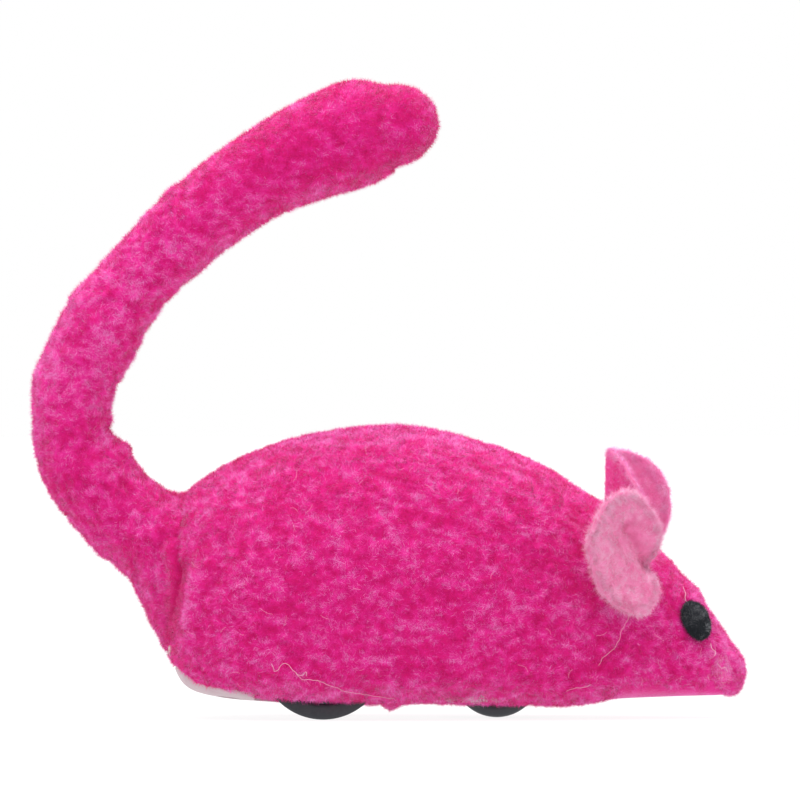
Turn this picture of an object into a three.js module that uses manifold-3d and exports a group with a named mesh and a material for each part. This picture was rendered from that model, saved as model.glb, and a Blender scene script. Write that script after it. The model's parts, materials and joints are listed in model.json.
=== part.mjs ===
// Clockwork mouse: a fleece-covered plastic body on three wheels, driven by a wound mainspring.
// Millimetres. +X towards the nose, +Y to the mouse's left, +Z up; the floor is z = 0.
import * as THREE from "three";
import { mergeVertices } from "three/addons/utils/BufferGeometryUtils.js";
import Module from "manifold-3d";

// ---------------------------------------------------------------- driving dimensions
const GAP = 0.3; // between pieces that touch
const TURN_GAP = 0.09; // radial, between a shaft and the hole that it turns in
const PRESS_GAP = 0.05; // radial, between a shaft and what is pressed onto it

// Stations along the body: x, crown height, keel height, half width, height of the widest line.
const BODY_STATIONS = [
  [-31.0, 16.5, 14.5, 0.01, 15.5],
  [-30.7, 22.0, 9.6, 5.4, 15.5],
  [-29.9, 27.0, 6.2, 9.4, 15.5],
  [-28.0, 31.1, 4.0, 13.0, 15.0],
  [-24.0, 34.0, 2.9, 16.4, 14.5],
  [-18.0, 36.9, 2.3, 18.8, 14.0],
  [-10.0, 39.2, 2.0, 20.0, 14.0],
  [0.0, 40.3, 2.0, 20.2, 14.0],
  [9.0, 39.3, 2.0, 19.5, 13.5],
  [18.0, 36.3, 2.0, 17.6, 12.5],
  [26.0, 32.0, 2.2, 14.9, 11.5],
  [33.0, 26.9, 2.6, 12.0, 10.5],
  [39.0, 21.3, 2.8, 9.0, 9.5],
  [43.5, 16.1, 2.9, 6.6, 8.0],
  [47.0, 11.0, 3.0, 4.3, 6.5],
  [48.9, 7.9, 3.4, 2.6, 5.6],
  [49.4, 5.8, 4.8, 0.01, 5.3],
];
const CROWN_POWER = 2.2; // of the section's superellipse above its widest line
const KEEL_POWER = 4.5; // and below it, where the sides are fuller
const FLEECE = 1.3; // thickness of the fabric
const SHELL_INSET = FLEECE + GAP;
const SHELL_WALL = 1.2;
const TRAY_FLOOR = { bottom: 2.1, top: 3.6 };
const TRAY_TOP = 6.4;
const TRAY_FRONT = 29.7;

const REAR_AXLE = { x: -9, z: 8.7, radius: 1.0, half: 13.6 };
const REAR_WHEEL = { radius: 8.7, hub: 6.6, inner: 10.2, outer: 13.2 };
const FRONT_AXLE = { x: 14.8, z: 6.2, radius: 0.9, half: 4.6 };
const FRONT_WHEEL = { radius: 6.2, half: 2.0 };

const MODULE = 0.5; // gear module
const TEETH = { great: 40, secondPinion: 10, second: 32, axlePinion: 10 };
const CENTRE_SLACK = 0.12; // added to each centre distance
const WINDING = { x: -5, z: 25, radius: 1.2 }; // the mainspring's arbor
const LAYERS = {
  // spans along y inside the motor
  plateInner: 7.0,
  plateOuter: 8.2,
  spring: [-6.3, -1.8],
  second: [-1.4, 0.2],
  great: [1.3, 2.9],
  ratchet: [3.3, 4.5],
};
const KEY = { reach: 24.7, wingFrom: 20.5, wingHalf: 7.4, thickness: 2.2, hub: 2.6 };
const TAIL_PIVOT = { x: -30.5, z: 22.0 };
const TAIL_BALL = 8.2; // the rump's rounded end, which the tail's root sits on
const TAIL_SWING = 20; // degrees, to each side
// The tail's centreline from its pivot to its tip: x, z, radius of the fleece.
const TAIL_LINE = [
  [-30.5, 22.0, 8.0],
  [-35.3, 26.8, 7.0],
  [-39.4, 31.0, 6.3],
  [-42.6, 35.6, 5.9],
  [-43.6, 41.0, 5.8],
  [-43.0, 46.4, 5.9],
  [-40.7, 51.3, 6.0],
  [-38.0, 55.9, 5.8],
  [-34.8, 60.0, 5.6],
  [-31.3, 63.7, 5.7],
  [-27.3, 67.3, 5.6],
  [-23.0, 70.8, 5.8],
  [-18.0, 74.3, 6.1],
  [-12.2, 77.6, 6.7],
  [-6.0, 80.6, 6.8],
  [0.2, 82.4, 5.6],
];
const TAIL_TIP = 6.2; // how far the rounded tip runs on past the last point
// The wire's line near the root, from its eye's rim; further up it follows the tail's centreline.
const WIRE_ROOT = [
  [-32.6, 22.0],
  [-35.6, 22.5],
  [-38.6, 25.1],
  [-41.2, 30.0],
];
const WIRE_RADIUS = 0.6;

const MATERIALS = {
  fleece: { color: 0xd81b7c, roughness: 0.95, metalness: 0 },
  felt: { color: 0xf27fb2, roughness: 0.95, metalness: 0 },
  wadding: { color: 0xf3efe6, roughness: 1, metalness: 0 },
  eye: { color: 0x17191c, roughness: 0.8, metalness: 0 },
  shell: { color: 0xe8e4e2, roughness: 0.4, metalness: 0 },
  wheel: { color: 0x1c1f24, roughness: 0.45, metalness: 0 },
  tyre: { color: 0x15181c, roughness: 0.75, metalness: 0 },
  gear: { color: 0xf2efe4, roughness: 0.5, metalness: 0 },
  plate: { color: 0xb9bcc0, roughness: 0.4, metalness: 1 },
  steel: { color: 0x9da1a6, roughness: 0.3, metalness: 1 },
  spring: { color: 0x565c68, roughness: 0.35, metalness: 1 },
};

// ---------------------------------------------------------------- solids
const wasm = await Module();
wasm.setup();

// A closed geometry as a manifold-3d solid.
function solid(geometry) {
  const bare = geometry.clone();
  bare.deleteAttribute("normal");
  bare.deleteAttribute("uv");
  const merged = mergeVertices(bare, 1e-4);
  return new wasm.Manifold(
    new wasm.Mesh({
      numProp: 3,
      vertProperties: new Float32Array(merged.attributes.position.array),
      triVerts: new Uint32Array(merged.index.array),
    }),
  );
}

// A manifold-3d solid as a geometry.
function geometryOf(made) {
  const mesh = made.getMesh();
  const flat = new THREE.BufferGeometry();
  flat.setAttribute("position", new THREE.BufferAttribute(mesh.vertProperties, 3));
  flat.setIndex(new THREE.BufferAttribute(mesh.triVerts, 1));
  const shaded = flat.toNonIndexed();
  shaded.computeVertexNormals();
  return shaded;
}

function cut(whole, ...tools) {
  return tools.reduce((made, tool) => made.subtract(tool), whole);
}

function join(...pieces) {
  return pieces.reduce((made, piece) => made.add(piece));
}

// A round bar along y.
function barY(radius, from, to, x, z, sides = 16) {
  const bar = new THREE.CylinderGeometry(radius, radius, to - from, sides);
  return solid(bar.translate(x, (from + to) / 2, z));
}

// A round bar along z.
function barZ(radius, from, to, x, y, sides = 12) {
  const bar = new THREE.CylinderGeometry(radius, radius, to - from, sides);
  return solid(bar.rotateX(Math.PI / 2).translate(x, y, (from + to) / 2));
}

function box(x0, x1, y0, y1, z0, z1) {
  const block = new THREE.BoxGeometry(x1 - x0, y1 - y0, z1 - z0);
  return solid(block.translate((x0 + x1) / 2, (y0 + y1) / 2, (z0 + z1) / 2));
}

function ball(radius, x, y, z, sides = 20) {
  const round = new THREE.SphereGeometry(radius, sides, sides / 2);
  return solid(round.translate(x, y, z));
}

// A shape drawn in x and z, extruded along y.
function slabY(shape, from, to, x = 0, z = 0) {
  const slab = new THREE.ExtrudeGeometry(shape, { depth: to - from, bevelEnabled: false });
  return solid(slab.rotateX(Math.PI / 2).translate(x, to, z));
}

function polygon(points) {
  return new THREE.Shape(points.map(([x, z]) => new THREE.Vector2(x, z)));
}

// A closed surface through rings of equal length, each an array of Vector3, with a fan over each end.
function loft(rings) {
  const sides = rings[0].length;
  const points = rings.flat();
  const faces = [];
  for (let r = 0; r + 1 < rings.length; r++) {
    for (let s = 0; s < sides; s++) {
      const a = r * sides + s;
      const b = r * sides + ((s + 1) % sides);
      faces.push(a, b, a + sides, b, b + sides, a + sides);
    }
  }
  for (const [ring, first] of [[rings[0], 0], [rings.at(-1), (rings.length - 1) * sides]]) {
    const middle = points.length;
    points.push(ring.reduce((sum, p) => sum.add(p), new THREE.Vector3()).divideScalar(sides));
    for (let s = 0; s < sides; s++) {
      const a = first + s;
      const b = first + ((s + 1) % sides);
      faces.push(...(first === 0 ? [middle, b, a] : [middle, a, b]));
    }
  }
  const made = new THREE.BufferGeometry().setFromPoints(points);
  made.setIndex(faces);
  return made;
}

// ---------------------------------------------------------------- the body's form
const BODY_RINGS = 17;
const BODY_SIDES = 20;
const BODY_MIDDLE = { x: 9.2, z: 21.1 };
const BODY_HALF = { x: 40.2, y: 20.2, z: 19.1 };
const bodyProfile = new THREE.CubicInterpolant(
  BODY_STATIONS.map((_, i) => i),
  BODY_STATIONS.flat(),
  5,
);

function bodySection(at) {
  const [x, crown, keel, half, wide] = bodyProfile.evaluate(at);
  const ring = [];
  for (let s = 0; s < BODY_SIDES; s++) {
    const angle = (s / BODY_SIDES) * 2 * Math.PI;
    const across = Math.cos(angle);
    const up = Math.sin(angle);
    const power = 2 / (up >= 0 ? CROWN_POWER : KEEL_POWER);
    const height = up >= 0 ? crown - wide : wide - keel;
    ring.push(
      new THREE.Vector3(
        x,
        half * Math.sign(across) * Math.abs(across) ** power,
        wide + height * Math.sign(up) * Math.abs(up) ** power,
      ),
    );
  }
  return ring;
}

// The body's outer form, drawn in by inset all round, or by another amount in z.
function bodyForm(inset, insetZ = inset) {
  const scale = new THREE.Vector3(
    1 - inset / BODY_HALF.x,
    1 - inset / BODY_HALF.y,
    1 - insetZ / BODY_HALF.z,
  );
  const middle = new THREE.Vector3(BODY_MIDDLE.x, 0, BODY_MIDDLE.z);
  const rings = [];
  for (let r = 0; r < BODY_RINGS; r++) {
    const at = (r / (BODY_RINGS - 1)) * (BODY_STATIONS.length - 1);
    const ring = bodySection(at);
    ring.forEach((p) => p.sub(middle).multiply(scale).add(middle));
    rings.push(ring);
  }
  return solid(loft(rings));
}

// ---------------------------------------------------------------- fleece, shell and tray
function keyHole(radius) {
  return barY(radius, 12, 24, WINDING.x, WINDING.z);
}

// The flat slot that the tail's wire swings in.
function tailSlot(half, height) {
  const { x, z } = TAIL_PIVOT;
  return box(x - 10, x + 3, -half, half, z - height, z + height);
}

function fleeceCover() {
  const { x, z } = TAIL_PIVOT;
  const outer = join(bodyForm(0), ball(TAIL_BALL, x, 0, z));
  const hollow = join(bodyForm(FLEECE), ball(TAIL_BALL - FLEECE, x, 0, z));
  const underside = bodyForm(FLEECE, -1).intersect(box(-40, 30, -30, 30, -2, 12));
  // The fabric is cut higher round the rump, where the tray shows.
  const hem = polygon([[-40, 0], [-40, 9], [-30, 8], [-27, 5.2], [-20, 3.6], [-12, 2.6], [30, 2.6], [30, 0]]);
  return cut(
    outer,
    hollow,
    underside,
    slabY(hem, -30, 30),
    keyHole(3.6),
    tailSlot(3.9, 4.2),
    eyeSeat(1, GAP),
    eyeSeat(-1, GAP),
  );
}

// Posts moulded in the shell, which the tray's screws go up into. Each screw's head is sunk in a pad on the
// tray's floor, which lifts it above the tray's curved underside.
const POSTS = [
  { name: "rear_right", x: -21.5, y: -8.5, lift: 0.9 },
  { name: "rear_left", x: -21.5, y: 8.5, lift: 0.9 },
  { name: "front_right", x: 24.2, y: -7, lift: 0.3 },
  { name: "front_left", x: 24.2, y: 7, lift: 0.3 },
];
const POST_RADIUS = 2.2;
const SCREW = { radius: 0.8, head: 1.6, headDepth: 0.8, top: 13 };

function bodyShell() {
  const outer = bodyForm(SHELL_INSET);
  const inner = bodyForm(SHELL_INSET + SHELL_WALL);
  const open = box(-40, TRAY_FRONT + GAP, -30, 30, -2, TRAY_TOP + GAP);
  const { x, z } = TAIL_PIVOT;
  const posts = POSTS.map((p) =>
    barZ(POST_RADIUS, TRAY_FLOOR.top + p.lift + GAP, 38, p.x, p.y).intersect(outer),
  );
  const pilots = POSTS.map((p) => barZ(SCREW.radius + PRESS_GAP, 0, SCREW.top + 1, p.x, p.y));
  // A tongue through the rump's opening carries the tail's screw.
  const tongue = box(x - 2.6, x + 6, -2.6, 2.6, z - 3.9, z - 1.1);
  const tailPilot = barZ(SCREW.radius + PRESS_GAP, z - 5, z, x, 0);
  const walls = cut(outer, inner, open, keyHole(3.4), tailSlot(4.2, 3.9));
  return cut(join(walls, tongue, ...posts), ...pilots, tailPilot);
}

function baseTray() {
  const outer = bodyForm(SHELL_INSET, 0);
  const hollow = bodyForm(SHELL_INSET + SHELL_WALL, 0);
  const slab = box(-40, TRAY_FRONT, -30, 30, TRAY_FLOOR.bottom, TRAY_TOP);
  const above = box(-40, TRAY_FRONT - SHELL_WALL, -30, 30, TRAY_FLOOR.top, 12);
  const tray = cut(outer.intersect(slab), hollow.intersect(above));
  const margin = 0.7;
  const wells = [1, -1].map((side) => {
    const near = REAR_WHEEL.inner - margin;
    const far = REAR_WHEEL.outer + margin;
    const reach = REAR_WHEEL.radius + margin;
    const [y0, y1] = side > 0 ? [near, far] : [-far, -near];
    return box(REAR_AXLE.x - reach, REAR_AXLE.x + reach, y0, y1, 0, 12);
  });
  const frontReach = FRONT_WHEEL.radius + margin;
  const frontHalf = FRONT_WHEEL.half + margin;
  const frontWell = box(
    FRONT_AXLE.x - frontReach,
    FRONT_AXLE.x + frontReach,
    -frontHalf,
    frontHalf,
    0,
    12,
  );
  // Two brackets carry the front axle.
  const brackets = [1, -1].map((side) => {
    const [y0, y1] = side > 0 ? [3.2, 4.6] : [-4.6, -3.2];
    return box(FRONT_AXLE.x - 2, FRONT_AXLE.x + 2, y0, y1, TRAY_FLOOR.top - 1, FRONT_AXLE.z + 2);
  });
  const bosses = FEET.map((f) => barZ(2.0, TRAY_FLOOR.top - 1, FOOT.bottom - GAP, f.x, f.y));
  const screwHoles = POSTS.map((p) => barZ(SCREW.radius + GAP, 0, 12, p.x, p.y));
  const sinks = POSTS.map((p) => barZ(SCREW.head + GAP, 0, TRAY_FLOOR.bottom + 0.9 + p.lift, p.x, p.y));
  const pads = POSTS.map((p) => barZ(2.6, TRAY_FLOOR.top - 0.2, TRAY_FLOOR.top + p.lift, p.x, p.y));
  const footPilot = FOOT_SCREW.radius + PRESS_GAP;
  const footHoles = FEET.map((f) => barZ(footPilot, TRAY_FLOOR.bottom + 0.4, 12, f.x, f.y));
  const axleHole = barY(FRONT_AXLE.radius + PRESS_GAP, -6, 6, FRONT_AXLE.x, FRONT_AXLE.z);
  return cut(
    join(cut(tray, ...wells, frontWell), ...brackets, ...bosses, ...pads),
    ...screwHoles,
    ...sinks,
    ...footHoles,
    axleHole,
  );
}

// A pan-head screw along z, with a conical point. Its head is at the lower end, or the upper one.
function screw(x, y, headZ, tipZ, size) {
  const way = Math.sign(tipZ - headZ);
  const length = Math.abs(tipZ - headZ);
  const r = size.radius;
  const profile = [
    [0, 0],
    [size.head * 0.75, 0],
    [size.head, size.headDepth * 0.35],
    [size.head, size.headDepth],
    [r, size.headDepth],
    [r, length - 1],
    [0, length],
  ].map(([radius, along]) => new THREE.Vector2(radius, along));
  const turned = new THREE.LatheGeometry(profile, 12).rotateX((way * Math.PI) / 2);
  const slot = box(x - size.head * 0.7, x + size.head * 0.7, y - 0.2, y + 0.2, headZ - 0.3, headZ + 0.3);
  return solid(turned.translate(x, y, headZ)).subtract(slot);
}

// ---------------------------------------------------------------- gears
// A spur gear's outline: involute flanks from the base circle, one tooth centred on phase.
function gearShape(teeth, phase) {
  const pitch = (MODULE * teeth) / 2;
  const tip = pitch + 0.85 * MODULE;
  const root = pitch - 1.2 * MODULE;
  const base = pitch * Math.cos(Math.PI / 9);
  const backlash = 0.16;
  const turn = (r) => {
    const s = Math.sqrt(Math.max(0, (r / base) ** 2 - 1));
    return s - Math.atan(s);
  };
  const halfAtPitch = (Math.PI * MODULE - backlash) / 4 / pitch;
  const start = Math.max(root + 0.05, base);
  const undercut = start - root > 0.2; // a small pinion's root lies well below its base circle
  const flank = [0, 1].map((f) => {
    const r = start + f * (tip - start);
    return [r, halfAtPitch + turn(pitch) - turn(r)];
  });
  const points = [];
  for (let t = 0; t < teeth; t++) {
    const middle = phase + (t * 2 * Math.PI) / teeth;
    const add = (r, a) => points.push([r * Math.cos(middle + a), r * Math.sin(middle + a)]);
    if (undercut) add(root, -flank[0][1] - 0.02);
    flank.forEach(([r, a]) => add(r, -a));
    [...flank].reverse().forEach(([r, a]) => add(r, a));
    if (undercut) add(root, flank[0][1] + 0.02);
  }
  return polygon(points);
}

function gear(teeth, phase, [from, to], centre, bore) {
  const blank = slabY(gearShape(teeth, phase), from, to, centre.x, centre.z);
  return cut(blank, barY(bore, from - 1, to + 1, centre.x, centre.z));
}

// The second arbor stands where both meshes have their centre distance.
function thirdCorner(a, b, fromA, fromB) {
  const span = Math.hypot(b.x - a.x, b.z - a.z);
  const along = (fromA ** 2 - fromB ** 2 + span ** 2) / (2 * span);
  const off = Math.sqrt(fromA ** 2 - along ** 2);
  const u = { x: (b.x - a.x) / span, z: (b.z - a.z) / span };
  return { x: a.x + along * u.x + off * u.z, z: a.z + along * u.z - off * u.x };
}

const meshDistance = (a, b) => (MODULE * (a + b)) / 2 + CENTRE_SLACK;
const bearing = (from, to) => Math.atan2(to.z - from.z, to.x - from.x);
const SECOND = {
  ...thirdCorner(
    REAR_AXLE,
    WINDING,
    meshDistance(TEETH.second, TEETH.axlePinion),
    meshDistance(TEETH.great, TEETH.secondPinion),
  ),
  radius: 0.8,
};
const SECOND_PINION = [LAYERS.second[1] + GAP, LAYERS.great[1] + 0.3];
const halfTooth = (teeth) => Math.PI / teeth;

function greatWheel() {
  const [from, to] = LAYERS.great;
  const wheel = gear(TEETH.great, bearing(WINDING, SECOND), LAYERS.great, WINDING, WINDING.radius + TURN_GAP);
  const stud = barY(CLICK.stud, to - 0.5, to + 1.7, CLICK.x, CLICK.z, 12);
  const post = barY(0.5, to - 0.5, to + 1.5, CLICK_SPRING.x, CLICK_SPRING.z, 12);
  const windows = [0, 1, 2, 3, 4].map((i) => {
    const angle = CLICK_ANGLE + Math.PI / 5 + (i * 2 * Math.PI) / 5;
    const x = WINDING.x + 6.2 * Math.cos(angle);
    return barY(1.7, from - 1, to + 1, x, WINDING.z + 6.2 * Math.sin(angle), 14);
  });
  return join(cut(wheel, ...windows), stud, post);
}

// ---------------------------------------------------------------- ratchet and click
const RATCHET = { teeth: 14, tip: 4.2, root: 3.5 };
const CLICK_ANGLE = 2.2; // where the click's tip stands, over a valley of the ratchet
const CLICK = {
  x: WINDING.x + 7.4 * Math.cos(CLICK_ANGLE + 0.75),
  z: WINDING.z + 7.4 * Math.sin(CLICK_ANGLE + 0.75),
  stud: 0.6,
};
const CLICK_SPRING = {
  x: WINDING.x + 7.9 * Math.cos(CLICK_ANGLE - 0.35),
  z: WINDING.z + 7.9 * Math.sin(CLICK_ANGLE - 0.35),
};

function ratchetWheel() {
  const points = [];
  for (let t = 0; t < RATCHET.teeth; t++) {
    const step = (2 * Math.PI) / RATCHET.teeth;
    const a = CLICK_ANGLE - 0.1 + t * step;
    points.push([RATCHET.tip * Math.cos(a), RATCHET.tip * Math.sin(a)]);
    points.push([RATCHET.root * Math.cos(a + 0.04), RATCHET.root * Math.sin(a + 0.04)]);
    points.push([RATCHET.root * Math.cos(a + step * 0.5), RATCHET.root * Math.sin(a + step * 0.5)]);
  }
  const blank = slabY(polygon(points), ...LAYERS.ratchet, WINDING.x, WINDING.z);
  return cut(blank, barY(WINDING.radius + PRESS_GAP, 2, 6, WINDING.x, WINDING.z));
}

function click() {
  const [from, to] = LAYERS.ratchet;
  const tipRadius = RATCHET.tip + 0.2;
  const tip = {
    x: WINDING.x + tipRadius * Math.cos(CLICK_ANGLE),
    z: WINDING.z + tipRadius * Math.sin(CLICK_ANGLE),
  };
  const outward = { x: Math.cos(CLICK_ANGLE), z: Math.sin(CLICK_ANGLE) };
  const arm = polygon([
    [tip.x, tip.z],
    [tip.x + outward.x * 1.3, tip.z + outward.z * 1.3],
    [CLICK.x + outward.x * 0.9, CLICK.z + outward.z * 0.9],
    [CLICK.x - outward.x * 0.7, CLICK.z - outward.z * 0.7],
  ]);
  const eye = barY(1.3, from, to, CLICK.x, CLICK.z);
  const hole = barY(CLICK.stud + TURN_GAP, from - 1, to + 1, CLICK.x, CLICK.z, 12);
  return cut(join(slabY(arm, from, to), eye), hole);
}

// A strip of constant thickness along a line of points in x and z.
function strip(line, thickness) {
  const sides = [[], []];
  line.forEach((p, i) => {
    const before = line[Math.max(0, i - 1)];
    const after = line[Math.min(line.length - 1, i + 1)];
    const length = Math.hypot(after[0] - before[0], after[1] - before[1]);
    const n = [-(after[1] - before[1]) / length, (after[0] - before[0]) / length];
    sides[0].push([p[0] + (n[0] * thickness) / 2, p[1] + (n[1] * thickness) / 2]);
    sides[1].unshift([p[0] - (n[0] * thickness) / 2, p[1] - (n[1] * thickness) / 2]);
  });
  return polygon([...sides[0], ...sides[1]]);
}

function arcLine(x, z, radius, from, to, steps) {
  return Array.from({ length: steps + 1 }, (_, i) => {
    const a = from + ((to - from) * i) / steps;
    return [x + radius * Math.cos(a), z + radius * Math.sin(a)];
  });
}

// A leaf spring: an open eye round its post, then an arm along the click's back.
function clickSpring() {
  const back = CLICK_ANGLE + 0.45;
  const end = [WINDING.x + 7.7 * Math.cos(back), WINDING.z + 7.7 * Math.sin(back)];
  const eye = arcLine(CLICK_SPRING.x, CLICK_SPRING.z, 0.95, CLICK_ANGLE - 3.4, CLICK_ANGLE + 1.2, 14);
  return slabY(strip([...eye, end], 0.25), LAYERS.ratchet[0] + 0.1, LAYERS.ratchet[1] - 0.2);
}

// ---------------------------------------------------------------- mainspring and key
const SPRING = { turns: 5.5, inner: 1.75, outer: 8.3, thickness: 0.3, stepsPerTurn: 15 };
const SPRING_POST_ANGLE = 2.9;
const SPRING_POST_REACH = 11.7;

// A flat spiral from beside the arbor out to a hook round its pillar.
function mainspring() {
  const steps = Math.round(SPRING.turns * SPRING.stepsPerTurn);
  const start = SPRING_POST_ANGLE - 0.75 - SPRING.turns * 2 * Math.PI;
  const line = Array.from({ length: steps + 1 }, (_, i) => {
    const f = i / steps;
    const a = start + f * SPRING.turns * 2 * Math.PI;
    const r = SPRING.inner + f * (SPRING.outer - SPRING.inner);
    return [WINDING.x + r * Math.cos(a), WINDING.z + r * Math.sin(a)];
  });
  const post = PILLARS[0];
  const hookRadius = PILLAR_RADIUS + GAP + SPRING.thickness / 2;
  const hook = arcLine(
    post.x,
    post.z,
    hookRadius,
    SPRING_POST_ANGLE + Math.PI - 0.15,
    SPRING_POST_ANGLE - 0.6,
    12,
  );
  return slabY(strip([...line, ...hook], SPRING.thickness), ...LAYERS.spring);
}

function windingKey() {
  const { x, z } = WINDING;
  const hub = barY(KEY.hub, 16.6, KEY.reach, x, z);
  const wing = new THREE.Shape();
  const middle = (KEY.wingFrom + KEY.reach) / 2;
  const lobe = (KEY.reach - KEY.wingFrom) / 2;
  wing.absarc(KEY.wingHalf - lobe, middle, lobe, -Math.PI / 2, Math.PI / 2, false);
  wing.absarc(-KEY.wingHalf + lobe, middle, lobe, Math.PI / 2, (3 * Math.PI) / 2, false);
  const flat = new THREE.ExtrudeGeometry(wing, {
    depth: KEY.thickness,
    bevelEnabled: false,
    curveSegments: 10,
  });
  const wings = solid(flat.translate(x, 0, z - KEY.thickness / 2));
  const socket = barY(WINDING.radius + PRESS_GAP, 10, 23.1, x, z);
  return cut(join(hub, wings), socket);
}

// ---------------------------------------------------------------- motor frame
const PILLAR_RADIUS = 0.9;
const PILLARS = [
  {
    name: "spring",
    x: WINDING.x + SPRING_POST_REACH * Math.cos(SPRING_POST_ANGLE),
    z: WINDING.z + SPRING_POST_REACH * Math.sin(SPRING_POST_ANGLE),
  },
  { name: "top_front", x: 6.6, z: 27.5 },
  { name: "rear", x: -14.2, z: 15.0 },
  { name: "front", x: 7.4, z: 6.6 },
];
const PLATE_OUTLINE = [
  [-11.5, 4.6],
  [8.6, 4.6],
  [9.2, 9.0],
  [8.8, 28.2],
  [5.6, 30.4],
  [-6.0, 33.6],
  [-14.0, 32.2],
  [-18.2, 29.6],
  [-18.2, 26.0],
  [-15.8, 13.5],
];
const FOOT = { bottom: 5.3, top: 6.3, out: 12.2 };
const FEET = [
  { name: "right", x: 4.6, y: -10.6, side: -1 },
  { name: "left", x: 4.6, y: 10.6, side: 1 },
];
const FOOT_SCREW = { radius: 0.7, head: 1.3, headDepth: 0.7 };

function motorPlate(side) {
  const span = [LAYERS.plateInner, LAYERS.plateOuter].map((y) => y * side).sort((a, b) => a - b);
  const plate = slabY(polygon(PLATE_OUTLINE), ...span);
  const foot = FEET.find((f) => f.side === side);
  const reach = [LAYERS.plateInner * side, FOOT.out * side].sort((a, b) => a - b);
  const flange = box(foot.x - 2, foot.x + 2, ...reach, FOOT.bottom, FOOT.top);
  const through = (radius, at) => barY(radius, span[0] - 1, span[1] + 1, at.x, at.z);
  return cut(
    join(plate, flange),
    through(WINDING.radius + TURN_GAP, WINDING),
    through(SECOND.radius + TURN_GAP, SECOND),
    through(REAR_AXLE.radius + TURN_GAP, REAR_AXLE),
    ...PILLARS.map((p) => through(0.62 + PRESS_GAP, p)),
    barZ(FOOT_SCREW.radius + PRESS_GAP, 4, 8, foot.x, foot.y),
  );
}

// A spacer between the plates, with a thinner riveted end through each.
function motorPillar(at) {
  const inner = LAYERS.plateInner - PRESS_GAP;
  const outer = LAYERS.plateOuter + 0.3;
  return join(
    barY(PILLAR_RADIUS, -inner, inner, at.x, at.z, 14),
    barY(0.55, -outer, outer, at.x, at.z, 12),
  );
}

// ---------------------------------------------------------------- axles and wheels
function wheelHub(side) {
  const { inner, outer, hub } = REAR_WHEEL;
  const [from, to] = [inner, outer].map((y) => y * side).sort((a, b) => a - b);
  const face = outer * side;
  const disc = barY(hub, from, to, REAR_AXLE.x, REAR_AXLE.z, 32);
  const recess = cut(
    barY(hub - 1.2, face - 1, face + 1, REAR_AXLE.x, REAR_AXLE.z, 24),
    barY(2.1, face - 2, face + 2, REAR_AXLE.x, REAR_AXLE.z),
  );
  return cut(disc, recess, barY(REAR_AXLE.radius + PRESS_GAP, -20, 20, REAR_AXLE.x, REAR_AXLE.z));
}

// A rubber ring round a hub, its tread's edges chamfered.
function tyre(side) {
  const half = (REAR_WHEEL.outer - REAR_WHEEL.inner) / 2;
  const bore = REAR_WHEEL.hub + PRESS_GAP;
  const { radius } = REAR_WHEEL;
  const profile = [
    [bore, -half],
    [radius - 0.7, -half],
    [radius, -half + 0.7],
    [radius, half - 0.7],
    [radius - 0.7, half],
    [bore, half],
    [bore, -half],
  ].map(([r, y]) => new THREE.Vector2(r, y));
  const middle = (side * (REAR_WHEEL.outer + REAR_WHEEL.inner)) / 2;
  return solid(new THREE.LatheGeometry(profile, 32).translate(REAR_AXLE.x, middle, REAR_AXLE.z));
}

function frontWheel() {
  const { radius, half } = FRONT_WHEEL;
  const bore = FRONT_AXLE.radius + TURN_GAP;
  const profile = [
    [bore, -half - 0.6],
    [2.2, -half - 0.6],
    [2.2, -half + 0.6],
    [4.4, -half + 0.6],
    [4.4, -half],
    [radius - 0.5, -half],
    [radius, -half + 0.5],
    [radius, half - 0.5],
    [radius - 0.5, half],
    [4.4, half],
    [4.4, half - 0.6],
    [2.2, half - 0.6],
    [2.2, half + 0.6],
    [bore, half + 0.6],
    [bore, -half - 0.6],
  ].map(([r, y]) => new THREE.Vector2(r, y));
  return solid(new THREE.LatheGeometry(profile, 24).translate(FRONT_AXLE.x, 0, FRONT_AXLE.z));
}

// ---------------------------------------------------------------- tail
const tailPath = new THREE.CatmullRomCurve3(
  TAIL_LINE.map(([x, z]) => new THREE.Vector3(x, 0, z)),
  false,
  "centripetal",
);
const tailRadii = new THREE.CubicInterpolant(
  TAIL_LINE.map((_, i) => i / (TAIL_LINE.length - 1)),
  TAIL_LINE.map((p) => p[2]),
  1,
);

// A ring of points square to the tail's line.
function tailRing(centre, along, radius, sides) {
  const up = new THREE.Vector3(-along.z, 0, along.x);
  return Array.from({ length: sides }, (_, s) => {
    const a = (s / sides) * 2 * Math.PI;
    return centre
      .clone()
      .addScaledVector(up, radius * Math.cos(a))
      .add(new THREE.Vector3(0, -radius * Math.sin(a), 0));
  });
}

// A tube along the tail, thinner than the fleece by inset, with a round tip.
function tailTube(inset, steps, sides) {
  const rings = [];
  for (let i = 0; i <= steps; i++) {
    const t = i / steps;
    const radius = tailRadii.evaluate(t)[0] - inset;
    rings.push(tailRing(tailPath.getPoint(t), tailPath.getTangent(t), radius, sides));
  }
  const end = tailPath.getPoint(1);
  const way = tailPath.getTangent(1);
  const last = TAIL_LINE.at(-1)[2] - inset;
  const cap = TAIL_TIP - inset;
  for (const a of [0.25, 0.5, 0.72, 0.9]) {
    const angle = (a * Math.PI) / 2;
    const centre = end.clone().addScaledVector(way, cap * Math.sin(angle));
    rings.push(tailRing(centre, way, last * Math.cos(angle), sides));
  }
  return solid(loft(rings));
}

// The body's form with a gap, turned about the tail's pivot as far as the tail swings.
function swungBody(degrees) {
  const { x } = TAIL_PIVOT;
  return bodyForm(-2 * GAP).translate([-x, 0, 0]).rotate([0, 0, degrees]).translate([x, 0, 0]);
}

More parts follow.
